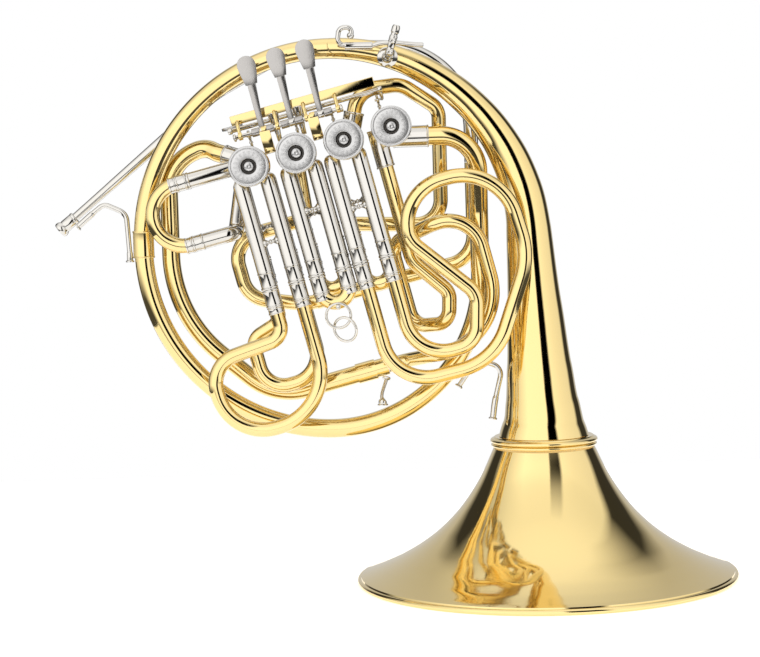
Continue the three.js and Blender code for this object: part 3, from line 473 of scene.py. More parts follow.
def smooth(piece: bpy.types.Object, degrees: float = 35) -> bpy.types.Object:
    """Shades a piece smooth, apart from edges sharper than the given angle."""
    pick(piece)
    bpy.ops.object.shade_smooth_by_angle(angle=math.radians(degrees))
    return piece


def clean(piece: bpy.types.Object) -> None:
    """Merges doubled vertices and turns all faces outwards."""
    pick(piece)
    bpy.ops.object.mode_set(mode="EDIT")
    bpy.ops.mesh.select_all(action="SELECT")
    bpy.ops.mesh.remove_doubles(threshold=1e-6)
    bpy.ops.mesh.normals_make_consistent(inside=False)
    bpy.ops.object.mode_set(mode="OBJECT")


def drawn(name: str, points: Sequence[Vector], closed: bool = False) -> bpy.types.Object:
    """Draws a line through points as a curve object.

    Args:
        name: The piece's name.
        points: Where the line goes.
        closed: Whether the last point joins the first.

    Returns:
        The curve object.
    """
    bpy.ops.object.select_all(action="DESELECT")
    bpy.ops.curve.primitive_bezier_curve_add(location=(0, 0, 0))
    piece = bpy.context.object
    piece.name = name
    piece.data.name = name
    piece.data.splines.clear()
    spline = piece.data.splines.new("POLY")
    spline.points.add(len(points) - 1)
    for knot, point in zip(spline.points, points):
        knot.co = (*point, 1)
    spline.use_cyclic_u = closed
    return piece


def turned(
    name: str, outline: Sequence[Point], place: Matrix, steps: int = 64, edge: float = 0.0002
) -> bpy.types.Object:
    """Spins a closed outline around the Z axis, as on a lathe.

    Args:
        name: The piece's name.
        outline: Pairs of radius and height around the section.
        place: Where the piece goes.
        steps: How many faces go round.
        edge: How wide the sharp edges are rounded.

    Returns:
        The piece.
    """
    whole = outline[0][0] > 0 or outline[-1][0] > 0
    piece = drawn(name, [Vector((radius, 0, height)) for radius, height in outline], closed=whole)
    pick(piece)
    bpy.ops.object.convert(target="MESH")
    piece = bpy.context.object
    bpy.ops.object.mode_set(mode="EDIT")
    bpy.ops.mesh.select_all(action="SELECT")
    bpy.ops.mesh.spin(steps=steps, angle=math.tau, center=(0, 0, 0), axis=(0, 0, 1))
    bpy.ops.object.mode_set(mode="OBJECT")
    clean(piece)
    if edge:
        finish_with(
            piece, "BEVEL", width=edge, segments=2, limit_method="ANGLE", angle_limit=math.radians(38),
        )
    return smooth(settle(piece, place))


def cut_plate(
    name: str, outline: Sequence[Point], thickness: float, place: Matrix, edge: float = 0.0003
) -> bpy.types.Object:
    """Cuts a plate from an outline in the XY plane, centred on it, and rounds its edges.

    Args:
        name: The piece's name.
        outline: Corners around the plate.
        thickness: The plate's thickness.
        place: Where the piece goes.
        edge: How wide its edges are rounded.

    Returns:
        The piece.
    """
    piece = drawn(name, [Vector((x, y, 0)) for x, y in outline], closed=True)
    piece.data.dimensions = "2D"
    piece.data.fill_mode = "BOTH"
    piece.data.extrude = thickness / 2
    pick(piece)
    bpy.ops.object.convert(target="MESH")
    piece = bpy.context.object
    clean(piece)
    finish_with(piece, "BEVEL", width=edge, segments=3, limit_method="ANGLE", angle_limit=math.radians(40))
    return smooth(settle(piece, place))


def swept(
    name: str, points: Sequence[Vector], radius: float, sides: int = 12, closed: bool = False
) -> bpy.types.Object:
    """Bends a round wire along a line.

    Args:
        name: The piece's name.
        points: The wire's centre line.
        radius: The wire's radius.
        sides: How many faces go round it.
        closed: Whether the wire is a ring.

    Returns:
        The piece.
    """
    piece = drawn(name, points, closed)
    piece.data.dimensions = "3D"
    piece.data.bevel_depth = radius
    piece.data.bevel_resolution = max(0, sides // 2 - 2)
    piece.data.use_fill_caps = True
    pick(piece)
    bpy.ops.object.convert(target="MESH")
    piece = bpy.context.object
    clean(piece)
    return smooth(piece, 50)


def joined(name: str, pieces: Sequence[bpy.types.Object]) -> bpy.types.Object:
    """Joins pieces into one."""
    pick(*pieces)
    if len(pieces) > 1:
        bpy.ops.object.join()
    piece = bpy.context.object
    piece.name = name
    piece.data.name = name
    return piece


def aimed(point: Vector, direction: Vector) -> Matrix:
    """A place at a point, with Z along a direction."""
    turn = direction.to_track_quat("Z", "Y").to_matrix().to_4x4()
    return Matrix.Translation(point) @ turn


def handed_in(
    piece: bpy.types.Object, body: str, metal: Metal | None, nodes: Sequence[str]
) -> None:
    """Dresses a piece, lets it ride on its body, and hides the frame nodes that it stands for.

    Args:
        piece: The finished piece.
        body: The body that it moves with.
        metal: Its finish, or None when it is dressed already.
        nodes: The frame nodes that it replaces.
    """
    if metal is not None:
        FINISHES.dress(piece, metal)
    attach(piece, body)
    if nodes:
        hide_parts(*nodes)
    log.info("%s: %d faces on %s", piece.name, len(piece.data.polygons), body)


# ------------------------------------------------------------------ reading the frame


def joint(name: str) -> dict:
    """The frame's joint with this name."""
    return next(entry for entry in frame["joints"] if entry["name"] == name)


def row_frame() -> Matrix:
    """The slanted valve row's frame, at the first valve: X along the row, Y backwards, Z square to both."""
    along = -Vector(joint("lever_1_press")["axis"]).normalized()
    back = Vector((0, 1, 0))
    up = along.cross(back)
    origin = Vector(joint("rotor_1_turn")["pos_m"])
    origin.y = 0
    columns = Matrix((along, back, up)).transposed().to_4x4()
    return Matrix.Translation(origin) @ columns


ROW = row_frame()


def row_box(node: str) -> tuple[Vector, Vector]:
    """Measures a node in the frame of the valve row.

    Args:
        node: The node's name.

    Returns:
        Its lowest and highest corners.
    """
    inverse = ROW.inverted()
    spots = [inverse @ vertex.co for vertex in frame["nodes"][node].data.vertices]
    low = Vector(min(spot[axis] for spot in spots) for axis in range(3))
    high = Vector(max(spot[axis] for spot in spots) for axis in range(3))
    return low, high


def in_row(x: float, y: float, z: float) -> Vector:
    """A point given in the frame of the valve row."""
    return ROW @ Vector((x, y, z))


def along_row(x: float, y: float, z: float, side: int = 1) -> Matrix:
    """A place in the frame of the valve row, with Z along the row, or against it where side is -1."""
    return aimed(in_row(x, y, z), ROW.to_3x3() @ Vector((side, 0, 0)))


def facing_back(x: float, y: float, z: float) -> Matrix:
    """A place in the frame of the valve row, with Z pointing backwards."""
    return ROW @ Matrix.Translation((x, y, z)) @ Matrix.Rotation(-math.pi / 2, 4, "X")


def casing_reach(low: Vector, high: Vector) -> float:
    """The outer radius of a valve's round piece, from the box of its faceted node."""
    return (high.x - low.x) / 2 / math.cos(math.pi / CASING_SIDES)


@dataclass(frozen=True)
class Ring:
    """One ring of a faceted tube: its centre, the way the tube runs there, and its outer radius."""

    centre: Vector
    heading: Vector
    radius: float


@dataclass
class TubeReader:
    """Reads the centre line and the radius of a faceted tube from its node in the frame."""

    node: str
    sides: int = 6
    solid: bool = False

    def __post_init__(self) -> None:
        """Merges the node's loose triangles into a graph of spots."""
        mesh = frame["nodes"][self.node].data
        tree = KDTree(len(mesh.vertices))
        for vertex in mesh.vertices:
            tree.insert(vertex.co, vertex.index)
        tree.balance()
        self.spots: list[Vector] = []
        index = [-1] * len(mesh.vertices)
        for vertex in mesh.vertices:
            if index[vertex.index] < 0:
                for _, twin, _ in tree.find_range(vertex.co, 5e-6):
                    index[twin] = len(self.spots)
                self.spots.append(vertex.co.copy())
        self.faces = [[index[corner] for corner in polygon.vertices] for polygon in mesh.polygons]
        self.links: list[set[int]] = [set() for _ in self.spots]
        for face in self.faces:
            for spot in face:
                self.links[spot].update(other for other in face if other != spot)

    @property
    def ring_size(self) -> int:
        """How many spots one ring has."""
        return self.sides if self.solid else 2 * self.sides

    def layers(self, start: Iterable[int], depth: int = 10_000) -> list[list[int]]:
        """Walks the graph outwards from a set of spots, layer by layer."""
        seen = set(start)
        layer = sorted(seen)
        walked = [layer]
        while layer and len(walked) <= depth:
            layer = sorted({other for spot in layer for other in self.links[spot]} - seen)
            seen.update(layer)
            if layer:
                walked.append(layer)
        return walked

    def end_rings(self) -> list[list[int]]:
        """Finds the flat rings that the tube ends in.

        Returns:
            The spots of each end ring.
        """
        wanted = self.ring_size + (1 if self.solid else 0)
        found: list[list[int]] = []
        for face in self.faces:
            if any(face[0] in ring for ring in found):
                continue
            a, b, c = (self.spots[corner] for corner in face[:3])
            normal = (b - a).cross(c - a)
            if normal.length < 1e-12:
                continue
            normal.normalize()
            near = [spot for layer in self.layers([face[0]], self.sides) for spot in layer]
            heights = {spot: (self.spots[spot] - a).dot(normal) for spot in near}
            flat = [spot for spot in near if abs(heights[spot]) < 2e-5]
            if len(flat) != wanted or max(heights.values()) > 2e-5:
                continue
            centre = self.centre_of(flat)
            reaches = sorted((self.spots[spot] - centre).length for spot in flat)
            if reaches[-1] - reaches[-self.sides] < 5e-5:
                found.append(flat)
        return found

    def ring(self, layer: Sequence[int], heading: Vector) -> Ring:
        """Measures the ring that a layer of spots makes."""
        centre = sum((self.spots[spot] for spot in layer), Vector()) / len(layer)
        outer = sorted(layer, key=lambda spot: (self.spots[spot] - centre).length)[-self.sides:]
        centre = sum((self.spots[spot] for spot in outer), Vector()) / self.sides
        radius = sum((self.spots[spot] - centre).length for spot in outer) / self.sides
        first, second = (self.spots[spot] - centre for spot in outer[:2])
        for spot in outer[1:]:
            second = self.spots[spot] - centre
            if first.cross(second).length > 0.3 * radius * radius:
                break
        normal = first.cross(second).normalized()
        return Ring(centre, normal if normal.dot(heading) >= 0 else -normal, radius)

    def walk(self, start: Sequence[int]) -> tuple[list[Ring], float]:
        """Follows the tube from an end ring while its rings stay clean.

        Args:
            start: The spots of the end ring.

        Returns:
            The rings in order, and how far the rest of the tube reaches past the last one.
        """
        walked = self.layers(start)
        clean_layers = []
        for number, layer in enumerate(walked):
            size = self.ring_size + (1 if self.solid and number == 0 else 0)
            if len(layer) != size:
                break
            clean_layers.append(layer)
        if self.solid:
            clean_layers[0] = sorted(
                clean_layers[0],
                key=lambda spot: (self.spots[spot] - self.centre_of(clean_layers[0])).length,
            )[1:]
        centres = [self.centre_of(layer) for layer in clean_layers]
        rings = []
        way = centres[-1] - centres[0]
        for number, layer in enumerate(clean_layers):
            before = centres[max(0, number - 1)]
            after = centres[min(len(centres) - 1, number + 1)]
            if (after - before).length > 0.0005:
                way = after - before
            rings.append(self.ring(layer, way))
        rest = [spot for layer in walked[len(clean_layers):] for spot in layer]
        last = rings[-1]
        reach = max(((self.spots[spot] - last.centre).dot(last.heading) for spot in rest), default=0.0)
        return rings, reach if rest else 0.0

    def centre_of(self, layer: Sequence[int]) -> Vector:
        """The middle of a layer of spots."""
        return sum((self.spots[spot] for spot in layer), Vector()) / len(layer)

    def rings(self, overrun: float = 0.0) -> list[Ring]:
        """Reads the whole tube.

        Args:
            overrun: How far past its cut end the tube is carried on, into the piece it is soldered to.

        Returns:
            The rings from one end to the other.
        """
        starts = self.end_rings()
        if not starts:
            raise ValueError(f"{self.node} has no clean end")
        rings, reach = self.walk(starts[0])
        if reach > 0 and len(starts) > 1:
            back, _ = self.walk(starts[1])
            gap = (back[-1].centre - rings[-1].centre).length
            turned_back = [Ring(ring.centre, -ring.heading, ring.radius) for ring in reversed(back)]
            if gap < 1e-5:
                turned_back = turned_back[1:]
            return rings + turned_back
        if reach > 0:
            last = rings[-1]
            rings.append(Ring(last.centre + last.heading * (reach + overrun), last.heading, last.radius))
        return rings


def round_share(sides: int) -> float:
    """The radius of the round tube as wide on average as a faceted one of radius 1."""
    return sides * math.sin(math.pi / sides) / math.pi


def stretches(rings: Sequence[Ring]) -> list[list[Ring]]:
    """Splits a tube where its radius steps.

    Args:
        rings: The tube's rings.

    Returns:
        One list of rings for each stretch.
    """
    split = [[rings[0]]]
    for before, after in pairwise(rings):
        if (after.centre - before.centre).length < 5e-4 and abs(after.radius - before.radius) > 5e-5:
            split.append([after])
        else:
            split[-1].append(after)
    return [stretch for stretch in split if len(stretch) > 1]


def tube(
    name: str, rings: Sequence[Ring], share: float, sides: int = 28, caps: bool = True
) -> bpy.types.Object:
    """Bends a round tube through rings, along true arcs.

    Args:
        name: The piece's name.
        rings: Where it goes and how wide it is.
        share: The tube's radius as a share of the rings' radius.
        sides: How many faces go round it.
        caps: Whether the ends are closed.

    Returns:
        The piece.
    """
    piece = drawn(name, [Vector(), Vector((0, 0, 1))])
    curve = piece.data
    curve.dimensions = "3D"
    curve.splines.clear()
    spline = curve.splines.new("BEZIER")
    spline.bezier_points.add(len(rings) - 1)
    handles = [0.0] * (len(rings) + 1)
    for number, (before, after) in enumerate(pairwise(rings)):
        chord = (after.centre - before.centre).length
        bend = before.heading.angle(after.heading)
        if bend < STRAIGHT_BEND:
            handles[number + 1] = chord / 3
        else:
            handles[number + 1] = chord * math.tan(bend / 4) / (1.5 * math.sin(bend / 2))
    for number, (knot, ring) in enumerate(zip(spline.bezier_points, rings)):
        knot.handle_left_type = knot.handle_right_type = "FREE"
        knot.co = ring.centre
        knot.handle_left = ring.centre - ring.heading * (handles[number] or 0.001)
        knot.handle_right = ring.centre + ring.heading * (handles[number + 1] or 0.001)
        knot.radius = ring.radius * share * 1000
    tapers = len({round(ring.radius, 5) for ring in rings}) > 1
    spline.radius_interpolation = "CARDINAL" if tapers else "LINEAR"
    curve.bevel_depth = 0.001
    curve.bevel_resolution = sides // 2 - 2
    curve.resolution_u = ARC_STEPS
    curve.use_fill_caps = caps
    pick(piece)
    bpy.ops.object.convert(target="MESH")
    piece = bpy.context.object
    piece.data.name = name
    clean(piece)
    return smooth(piece, 50)


def collar(name: str, start: Ring, end: Ring, radius: float, lip: float = 0.0004) -> bpy.types.Object:
    """Turns a straight collar with rolled lips around a tube.

    Args:
        name: The piece's name.
        start: The ring that it starts at.
        end: The ring that it ends at.
        radius: Its outer radius.
        lip: How far its lips stand proud.

    Returns:
        The piece.
    """
    length = (end.centre - start.centre).length
    edge = min(0.0016, length / 4)
    outline = [
        (0.0, 0), (radius + lip * 0.4, 0), (radius + lip, edge * 0.35), (radius + lip, edge * 0.75),
        (radius, edge), (radius, length - edge), (radius + lip, length - edge * 0.75),
        (radius + lip, length - edge * 0.35), (radius + lip * 0.4, length), (0.0, length),
    ]
    return turned(name, outline, aimed(start.centre, end.centre - start.centre), steps=40, edge=0.00015)


# ------------------------------------------------------------------ bell


@dataclass
class Bell:
    """The bell: a spun flare with a rolled rim, a screw ring, and the long tapering tail."""

    wall: float = 0.0005
    bead: float = 0.0024
    steps: int = 176

    @cached_property
    def centre(self) -> Vector:
        """The middle of the rim, on the floor."""
        low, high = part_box("bell_flare")
        return Vector(((low.x + high.x) / 2, (low.y + high.y) / 2, 0))

    def flare_outline(self) -> list[tuple[float, float]]:
        """Pairs of height and outer radius, read from the frame, from the rim to the ring."""
        reaches: dict[int, float] = {}
        for vertex in frame["nodes"]["bell_flare"].data.vertices:
            height = round(vertex.co.z * 1e5)
            reach = math.hypot(vertex.co.x - self.centre.x, vertex.co.y - self.centre.y)
            reaches[height] = max(reach, reaches.get(height, 0))
        marks = sorted((height / 1e5, reach) for height, reach in reaches.items())
        kept = [marks[-1]]
        for height, reach in reversed(marks[:-1]):
            if height > 1.9 * self.bead and reach > kept[-1][1] + self.wall * 1.5:
                kept.append((height, reach))
        return kept[::-1]

    def eased(self, marks: Sequence[tuple[float, float]], between: int = 8) -> list[Point]:
        """Runs a smooth line through pairs of height and radius.

        Args:
            marks: The pairs, in order.
            between: How many steps each gap takes.

        Returns:
            Pairs of radius and height.
        """
        slopes = []
        for number in range(len(marks)):
            before = marks[max(0, number - 1)]
            after = marks[min(len(marks) - 1, number + 1)]
            slopes.append((after[1] - before[1]) / (after[0] - before[0]))
        line = []
        for number in range(len(marks) - 1):
            (low, start), (high, end) = marks[number], marks[number + 1]
            gap = high - low
            for step in range(between):
                share = step / between
                cube, square = share ** 3, share ** 2
                value = (
                    (2 * cube - 3 * square + 1) * start + (cube - 2 * square + share) * gap * slopes[number]
                    + (3 * square - 2 * cube) * end + (cube - square) * gap * slopes[number + 1]
                )
                line.append((value, low + gap * share))
        line.append((marks[-1][1], marks[-1][0]))
        return line

    def build_flare(self) -> None:
        """Spins the flare with its rolled rim."""
        outside = self.eased(self.flare_outline())
        rim_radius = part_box("bell_flare")[1].y - self.centre.y
        middle = rim_radius - self.bead
        outside = [(radius, height) for radius, height in outside if radius < middle - 0.0004]
        turns = [math.radians(angle) for angle in range(100, -190, -15)]
        roll = [
            (middle + self.bead * math.cos(angle), self.bead + self.bead * math.sin(angle)) for angle in turns
        ]
        inside = [(radius - 1.3 * self.wall, height - 0.6 * self.wall) for radius, height in outside]
        inside[-1] = (inside[-1][0], outside[-1][1])
        outline = outside[::-1] + roll + inside
        piece = turned("bell_flare_spun", outline, Matrix.Translation(self.centre), self.steps, edge=0)
        handed_in(piece, ROOT, Metal.LACQUERED_BRASS, ["bell_flare"])

    def build_ring(self) -> None:
        """Turns the screw ring: a round bead over a thinner one, with a fine lip at each end."""
        low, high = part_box("bell_ring")
        reach = (high.y - low.y) / 2
        tall = high.z - low.z
        bore = min(
            math.hypot(vertex.co.x - self.centre.x, vertex.co.y - self.centre.y)
            for vertex in frame["nodes"]["bell_ring"].data.vertices
        )
        lip = reach - 0.0026

        def bead(middle: float, half: float, out: float) -> list[Point]:
            """A half round between two heights."""
            return [
                (lip + out * math.cos(angle), middle + half * math.sin(angle))
                for angle in (math.radians(step) for step in range(-84, 85, 14))
            ]

        outline = [(bore, 0), (lip - 0.0008, 0), (lip - 0.0004, 0.0004 * 1.5)]
        outline += bead(tall * 0.27, tall * 0.17, reach - lip - 0.0006)
        outline += bead(tall * 0.66, tall * 0.22, reach - lip)
        outline += [(lip - 0.0004, tall - 0.0005), (lip - 0.0008, tall), (bore, tall)]
        place = Matrix.Translation((self.centre.x, self.centre.y, low.z))
        piece = turned("bell_ring_turned", outline, place, 128, edge=0)
        handed_in(piece, ROOT, Metal.LACQUERED_BRASS, ["bell_ring"])

    def build_tail(self) -> None:
        """Draws the tail from the ring round to the joint at the left of the coil."""
        sides = 10
        rings = TubeReader("bell_tail", sides).rings()
        if rings[0].radius < rings[-1].radius:
            rings = [Ring(ring.centre, -ring.heading, ring.radius) for ring in reversed(rings)]
        piece = tube("bell_tail_drawn", rings, round_share(sides), sides=64, caps=False)
        finish_with(piece, "SOLIDIFY", thickness=self.wall, offset=-1)
        smooth(piece, 50)
        handed_in(piece, ROOT, Metal.LACQUERED_BRASS, ["bell_tail"])
        last = rings[-1]
        start = Ring(last.centre - last.heading * 0.012, last.heading, last.radius)
        end = Ring(last.centre + last.heading * 0.010, last.heading, last.radius)
        joint_collar = collar("coil_joint", start, end, last.radius * round_share(sides) + 0.0006)
        handed_in(joint_collar, ROOT, Metal.LACQUERED_BRASS, [])

    def build(self) -> None:
        """Builds the whole bell."""
        self.build_flare()
        self.build_ring()
        self.build_tail()


# ------------------------------------------------------------------ fixed tubing


@dataclass(frozen=True)
class Run:
    """One fixed tube: its metal, how far it is carried past its cut end, and how long its port sleeve is."""

    node: str
    metal: Metal
    overrun: float = 0.006
    sides: int = 6
    port: float = 0.0


@dataclass
class FixedTubes:
    """All the tubing that is soldered to the valves and to the coil."""

    runs: Sequence[Run] = (
        Run("bell_branch", Metal.LACQUERED_BRASS, port=0.030),
        Run("first_branch", Metal.LACQUERED_BRASS, port=0.018),
        Run("second_branch", Metal.LACQUERED_BRASS, port=0.020),
        Run("change_branch", Metal.LACQUERED_BRASS, port=0.034),
        Run("back_branch", Metal.LACQUERED_BRASS),
        Run("tuning_sleeve_lower", Metal.NICKEL_SILVER),
        Run("leadpipe", Metal.NICKEL_SILVER, 0.0),
    )

    def build(self) -> None:
        """Bends each tube in one stretch for each radius, and puts a nickel port sleeve on its last end."""
        for run in self.runs:
            rings = TubeReader(run.node, run.sides).rings(run.overrun)
            share = round_share(run.sides)
            parts = []
            for stretch in stretches(rings):
                parts.append(tube(run.node + "_part", stretch, share))
            piece = joined(run.node + "_bent", parts)
            handed_in(piece, ROOT, run.metal, [run.node])
            if run.port:
                last = rings[-1]
                reach = min(run.port, max((last.centre - ring.centre).length for ring in rings[-3:]))
                start = Ring(last.centre - last.heading * reach, last.heading, last.radius)
                sleeve = collar(run.node + "_port", start, last, last.radius * share + 0.0007)
                handed_in(sleeve, ROOT, Metal.NICKEL_SILVER, [])


# ------------------------------------------------------------------ slides


@dataclass
class Slides:
    """The seven tuning slides: bright legs, nickel ferrules and brass bows."""

    crooks: Sequence[tuple[str, str]] = (
        ("f_slide_crook_1", "front_crook_1"),
        ("f_slide_crook_2", "front_crook_2"),
        ("f_slide_crook_3", "front_crook_3"),
        ("b_slide_crook_1", "back_crook_1"),
        ("b_slide_crook_2", "back_crook_2"),
        ("b_slide_crook_3", "back_crook_3"),
        ("tuning_slide", "tuning_crook"),
    )
    sleeves: Sequence[str] = (
        "f_slide_sleeves_1", "f_slide_sleeves_2", "f_slide_sleeves_3",
        "b_slide_sleeves_1", "b_slide_sleeves_2", "b_slide_sleeves_3",
    )
    bow_ferrule: float = 0.006
    front_braces: Sequence[float] = (-0.062, -0.046, -0.054)
    rear_brace: float = -0.050
    brace_waist: float = 0.0012
    shoulder: float = 0.0145
    sides: int = 6

    def build_crook(self, node: str, body: str) -> None:
        """Builds one sliding crook."""
        share = round_share(self.sides)
        bright, brass = [], []
        for stretch in stretches(TubeReader(node).rings()):
            length = (stretch[-1].centre - stretch[0].centre).length
            straight = stretch[0].heading.dot(stretch[-1].heading) > 0.999 and len(stretch) == 2
            if straight and stretch[0].radius < 0.0055:
                bright.append(tube(node + "_leg", stretch, share, sides=24))
            elif straight and length < 0.02:
                bright.append(collar(node + "_ferrule", stretch[0], stretch[-1], stretch[0].radius * share))
            else:
                brass.append(tube(node + "_bow_part", stretch, share))
                for ring, way in ((stretch[0], 1), (stretch[-1], -1)):
                    end = Ring(ring.centre + ring.heading * way * self.bow_ferrule, ring.heading, ring.radius)
                    bright.append(collar(node + "_sleeve", ring, end, ring.radius * share + 0.0003))
        bow = joined(node + "_bow", brass)
        handed_in(bow, body, Metal.LACQUERED_BRASS, [node])
        legs = joined(node + "_legs", bright)
        handed_in(legs, body, Metal.NICKEL_SILVER, [node])

    def build_sleeves(self, node: str) -> None:
        """Builds the pair of outer sleeves that a crook slides in, with the brace between them."""
        low, high = row_box(node)
        level = (low.y + high.y) / 2
        facet = (high.y - low.y) / 2 / math.cos(math.pi / self.sides)
        radius = facet * round_share(self.sides)
        bore = radius - 0.0008
        parts = []
        for x in (low.x + facet, high.x - facet):
            shoulder = -self.shoulder - low.z
            outline = [
                (bore, 0), (radius + 0.0002, 0), (radius + 0.0006, 0.0006), (radius + 0.0006, 0.0016),
                (radius, 0.0022), (radius, 0.0125), (radius + 0.0003, 0.0128), (radius + 0.0003, 0.0140),
                (radius, 0.0143), (radius, shoulder), (radius * 0.94, shoulder + 0.0024),
                (radius * 0.76, shoulder + 0.0044), (radius * 0.44, shoulder + 0.0058),
                (0.0006, shoulder + 0.0062),
                (0.0006, shoulder), (bore, shoulder),
            ]
            place = ROW @ Matrix.Translation((x, level, low.z))
            parts.append(turned(node + "_sleeve", outline, place, 40, edge=0.0001))
        parts += self.build_brace(node, low.x + facet + radius, high.x - facet - radius, level)
        piece = joined(node + "_turned", parts)
        handed_in(piece, ROOT, Metal.NICKEL_SILVER, [node])

    def build_brace(self, node: str, start: float, end: float, level: float) -> list[bpy.types.Object]:
        """Turns the brace between two sleeves: a waisted bar with a flared foot and a bead at each end.

        Args:
            node: The sleeves' node.
            start: Where its first foot is along the row.
            end: Where its second foot is.
            level: Its depth.

        Returns:
            The parts.
        """
        number = int(node[-1]) - 1
        height = self.front_braces[number] if node.startswith("f") else self.rear_brace
        reach = end - start
        thin = self.brace_waist
        shape = [(0, 0), (0.12, 0.0034), (0.2, 0.0026), (0.3, 0.0016), (0.42, thin), (0.46, thin * 1.6)]
        half = [(radius, reach * share - 0.0012 * (1 - 2 * share)) for share, radius in shape]
        outline = [(0, -0.0012), (0.0034, -0.0012)] + half[1:]
        outline += [(radius, reach - height_on) for radius, height_on in reversed(outline)]
        return [turned(node + "_brace", outline, along_row(start, level, height), 24, edge=0.0001)]

    def build(self) -> None:
        """Builds every slide."""
        for node, body in self.crooks:
            self.build_crook(node, body)
        for node in self.sleeves:
            self.build_sleeves(node)


# ------------------------------------------------------------------ valves


@dataclass
class Valves:
    """The four rotary valves: casings, caps, bearing plates, and rotors with their stop arms."""

    count: int = 4
    casing_bore: float = 0.0132
    flange: float = 0.0006
    hub_radius: float = 0.0041
    recess_radius: float = 0.0062
    screw_radius: float = 0.0016
    arm_reach: float = 0.006
    arm_half: float = 0.0022
    cork_radius: float = 0.0017

    def axis_place(self, number: int, depth: float, forward: bool) -> Matrix:
        """A place on a valve's axis.

        Args:
            number: Which valve, from 0.
            depth: How far back it is.
            forward: Whether Z points to the caps, or else to the bearing plates.

        Returns:
            The place, with Z along the axis.
        """
        centre = self.centre(number)
        return aimed(Vector((centre.x, depth, centre.z)), Vector((0, -1 if forward else 1, 0)))

    def centre(self, number: int) -> Vector:
        """The middle of a valve's casing, from the frame."""
        low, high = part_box(f"valve_casing_{number + 1}")
        return (low + high) / 2

    def build_casing(self, number: int) -> None:
        """Turns a casing with a flange at each end and a fine line beside each flange."""
        node = f"valve_casing_{number + 1}"
        low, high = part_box(node)
        radius = casing_reach(low, high)
        length = high.y - low.y
        waist = radius - self.flange
        outline = [
            (self.casing_bore, 0), (radius, 0), (radius, 0.0042), (waist, 0.0046), (waist, 0.0052),
            (waist - 0.0002, 0.0054), (waist, 0.0056), (waist, length - 0.0075), (radius, length - 0.0071),
            (radius, length - 0.0026), (waist, length - 0.0023), (waist, length - 0.0018),
            (radius, length - 0.0015), (radius, length), (self.casing_bore, length),
        ]
        piece = turned(node + "_turned", outline, self.axis_place(number, high.y, True), 72)
        handed_in(piece, ROOT, Metal.LACQUERED_BRASS, [node])

    def build_cap(self, number: int) -> None:
        """Turns a cap: a flat face with a recess, a boss in it with a centre dimple, and a grooved side."""
        node = f"valve_cap_{number + 1}"
        low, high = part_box(node)
        reach = casing_reach(low, high)
        tall = high.y - low.y - 0.0003
        hub = self.hub_radius
        recess = self.recess_radius
        outline = [
            (0, 0), (reach - 0.0005, 0), (reach, 0.0005), (reach, 0.0016), (reach - 0.0004, 0.0019),
            (reach, 0.0022), (reach, tall - 0.0008), (reach - 0.0008, tall), (reach - 0.0021, tall),
            (reach - 0.0023, tall - 0.0004), (reach - 0.0025, tall), (recess + 0.0004, tall),
            (recess, tall - 0.0005),
            (recess - 0.0003, tall - 0.0034), (hub + 0.0002, tall - 0.0034), (hub, tall - 0.0022),
            (hub - 0.0007, tall - 0.0011), (hub - 0.0017, tall - 0.0006), (0.0015, tall - 0.0003),
            (0.0012, tall - 0.0009), (0, tall - 0.0011),
        ]
        piece = turned(node + "_turned", outline, self.axis_place(number, high.y, True), 96, edge=0.00012)
        face = TurnedFace(node + "_face", (0.72, 0.71, 0.70), 2600.0, 0.22, 0.22, 18)
        piece.data.materials.clear()
        piece.data.materials.append(face.build(self.centre(number)))
        handed_in(piece, ROOT, None, [node])

    def slotted_screw(self, name: str, place: Matrix, radius: float, tall: float) -> bpy.types.Object:
        """Turns a cheese-head screw with a dimpled head."""
        outline = [
            (0, -0.001), (radius * 0.6, -0.001), (radius * 0.6, 0), (radius, 0), (radius, tall * 0.7),
            (radius * 0.8, tall), (radius * 0.25, tall), (radius * 0.2, tall * 0.55), (0, tall * 0.5),
        ]
        return turned(name, outline, place, 20, edge=0.0001)

    def build_plate(self, number: int) -> None:
        """Builds a bearing plate with its screws and the two corks that stop the arm."""
        node = f"bearing_plate_{number + 1}"
        low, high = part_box(node)
        radius = casing_reach(low, high)
        thick = high.y - low.y
        outline = [
            (0.0034, 0), (radius, 0), (radius, thick - 0.0006), (radius - 0.0006, thick - 0.0001),
            (radius - 0.0022, thick - 0.0001), (radius - 0.0025, thick - 0.0004), (0.0052, thick - 0.0004),
            (0.0049, thick), (0.0034, thick),
        ]
        parts = [turned(node + "_disc", outline, self.axis_place(number, low.y, False), 72)]
        place = self.axis_place(number, high.y - 0.0004, False)
        for step in range(3):
            turn = Matrix.Rotation(math.tau * step / 3 + math.pi, 4, "Z")
            spot = place @ turn @ Matrix.Translation((0, radius - 0.0034, 0))
            parts.append(self.slotted_screw(node + "_screw", spot, self.screw_radius, 0.0009))
        plate = joined(node + "_turned", parts)
        handed_in(plate, ROOT, Metal.SATIN_NICKEL, [node])
        side = 1 if number < 2 else -1
        corks = []
        for way in (1, -1):
            along, across = 0.0072, self.arm_half + self.cork_radius + 0.0001
            x = side * (along - across) * math.sqrt(0.5)
            z = way * (along + across) * math.sqrt(0.5)
            low_row, high_row = row_box(node)
            middle = (low_row + high_row) / 2
            spot = facing_back(middle.x + x, high.y - 0.0002, middle.z + z)
            outline = [(0, 0), (self.cork_radius, 0), (self.cork_radius, 0.003), (0, 0.003)]
            corks.append(turned(node + "_cork", outline, spot, 16, edge=0.0002))
        bumpers = joined(f"stop_corks_{number + 1}", corks)
        handed_in(bumpers, ROOT, Metal.CORK, [])

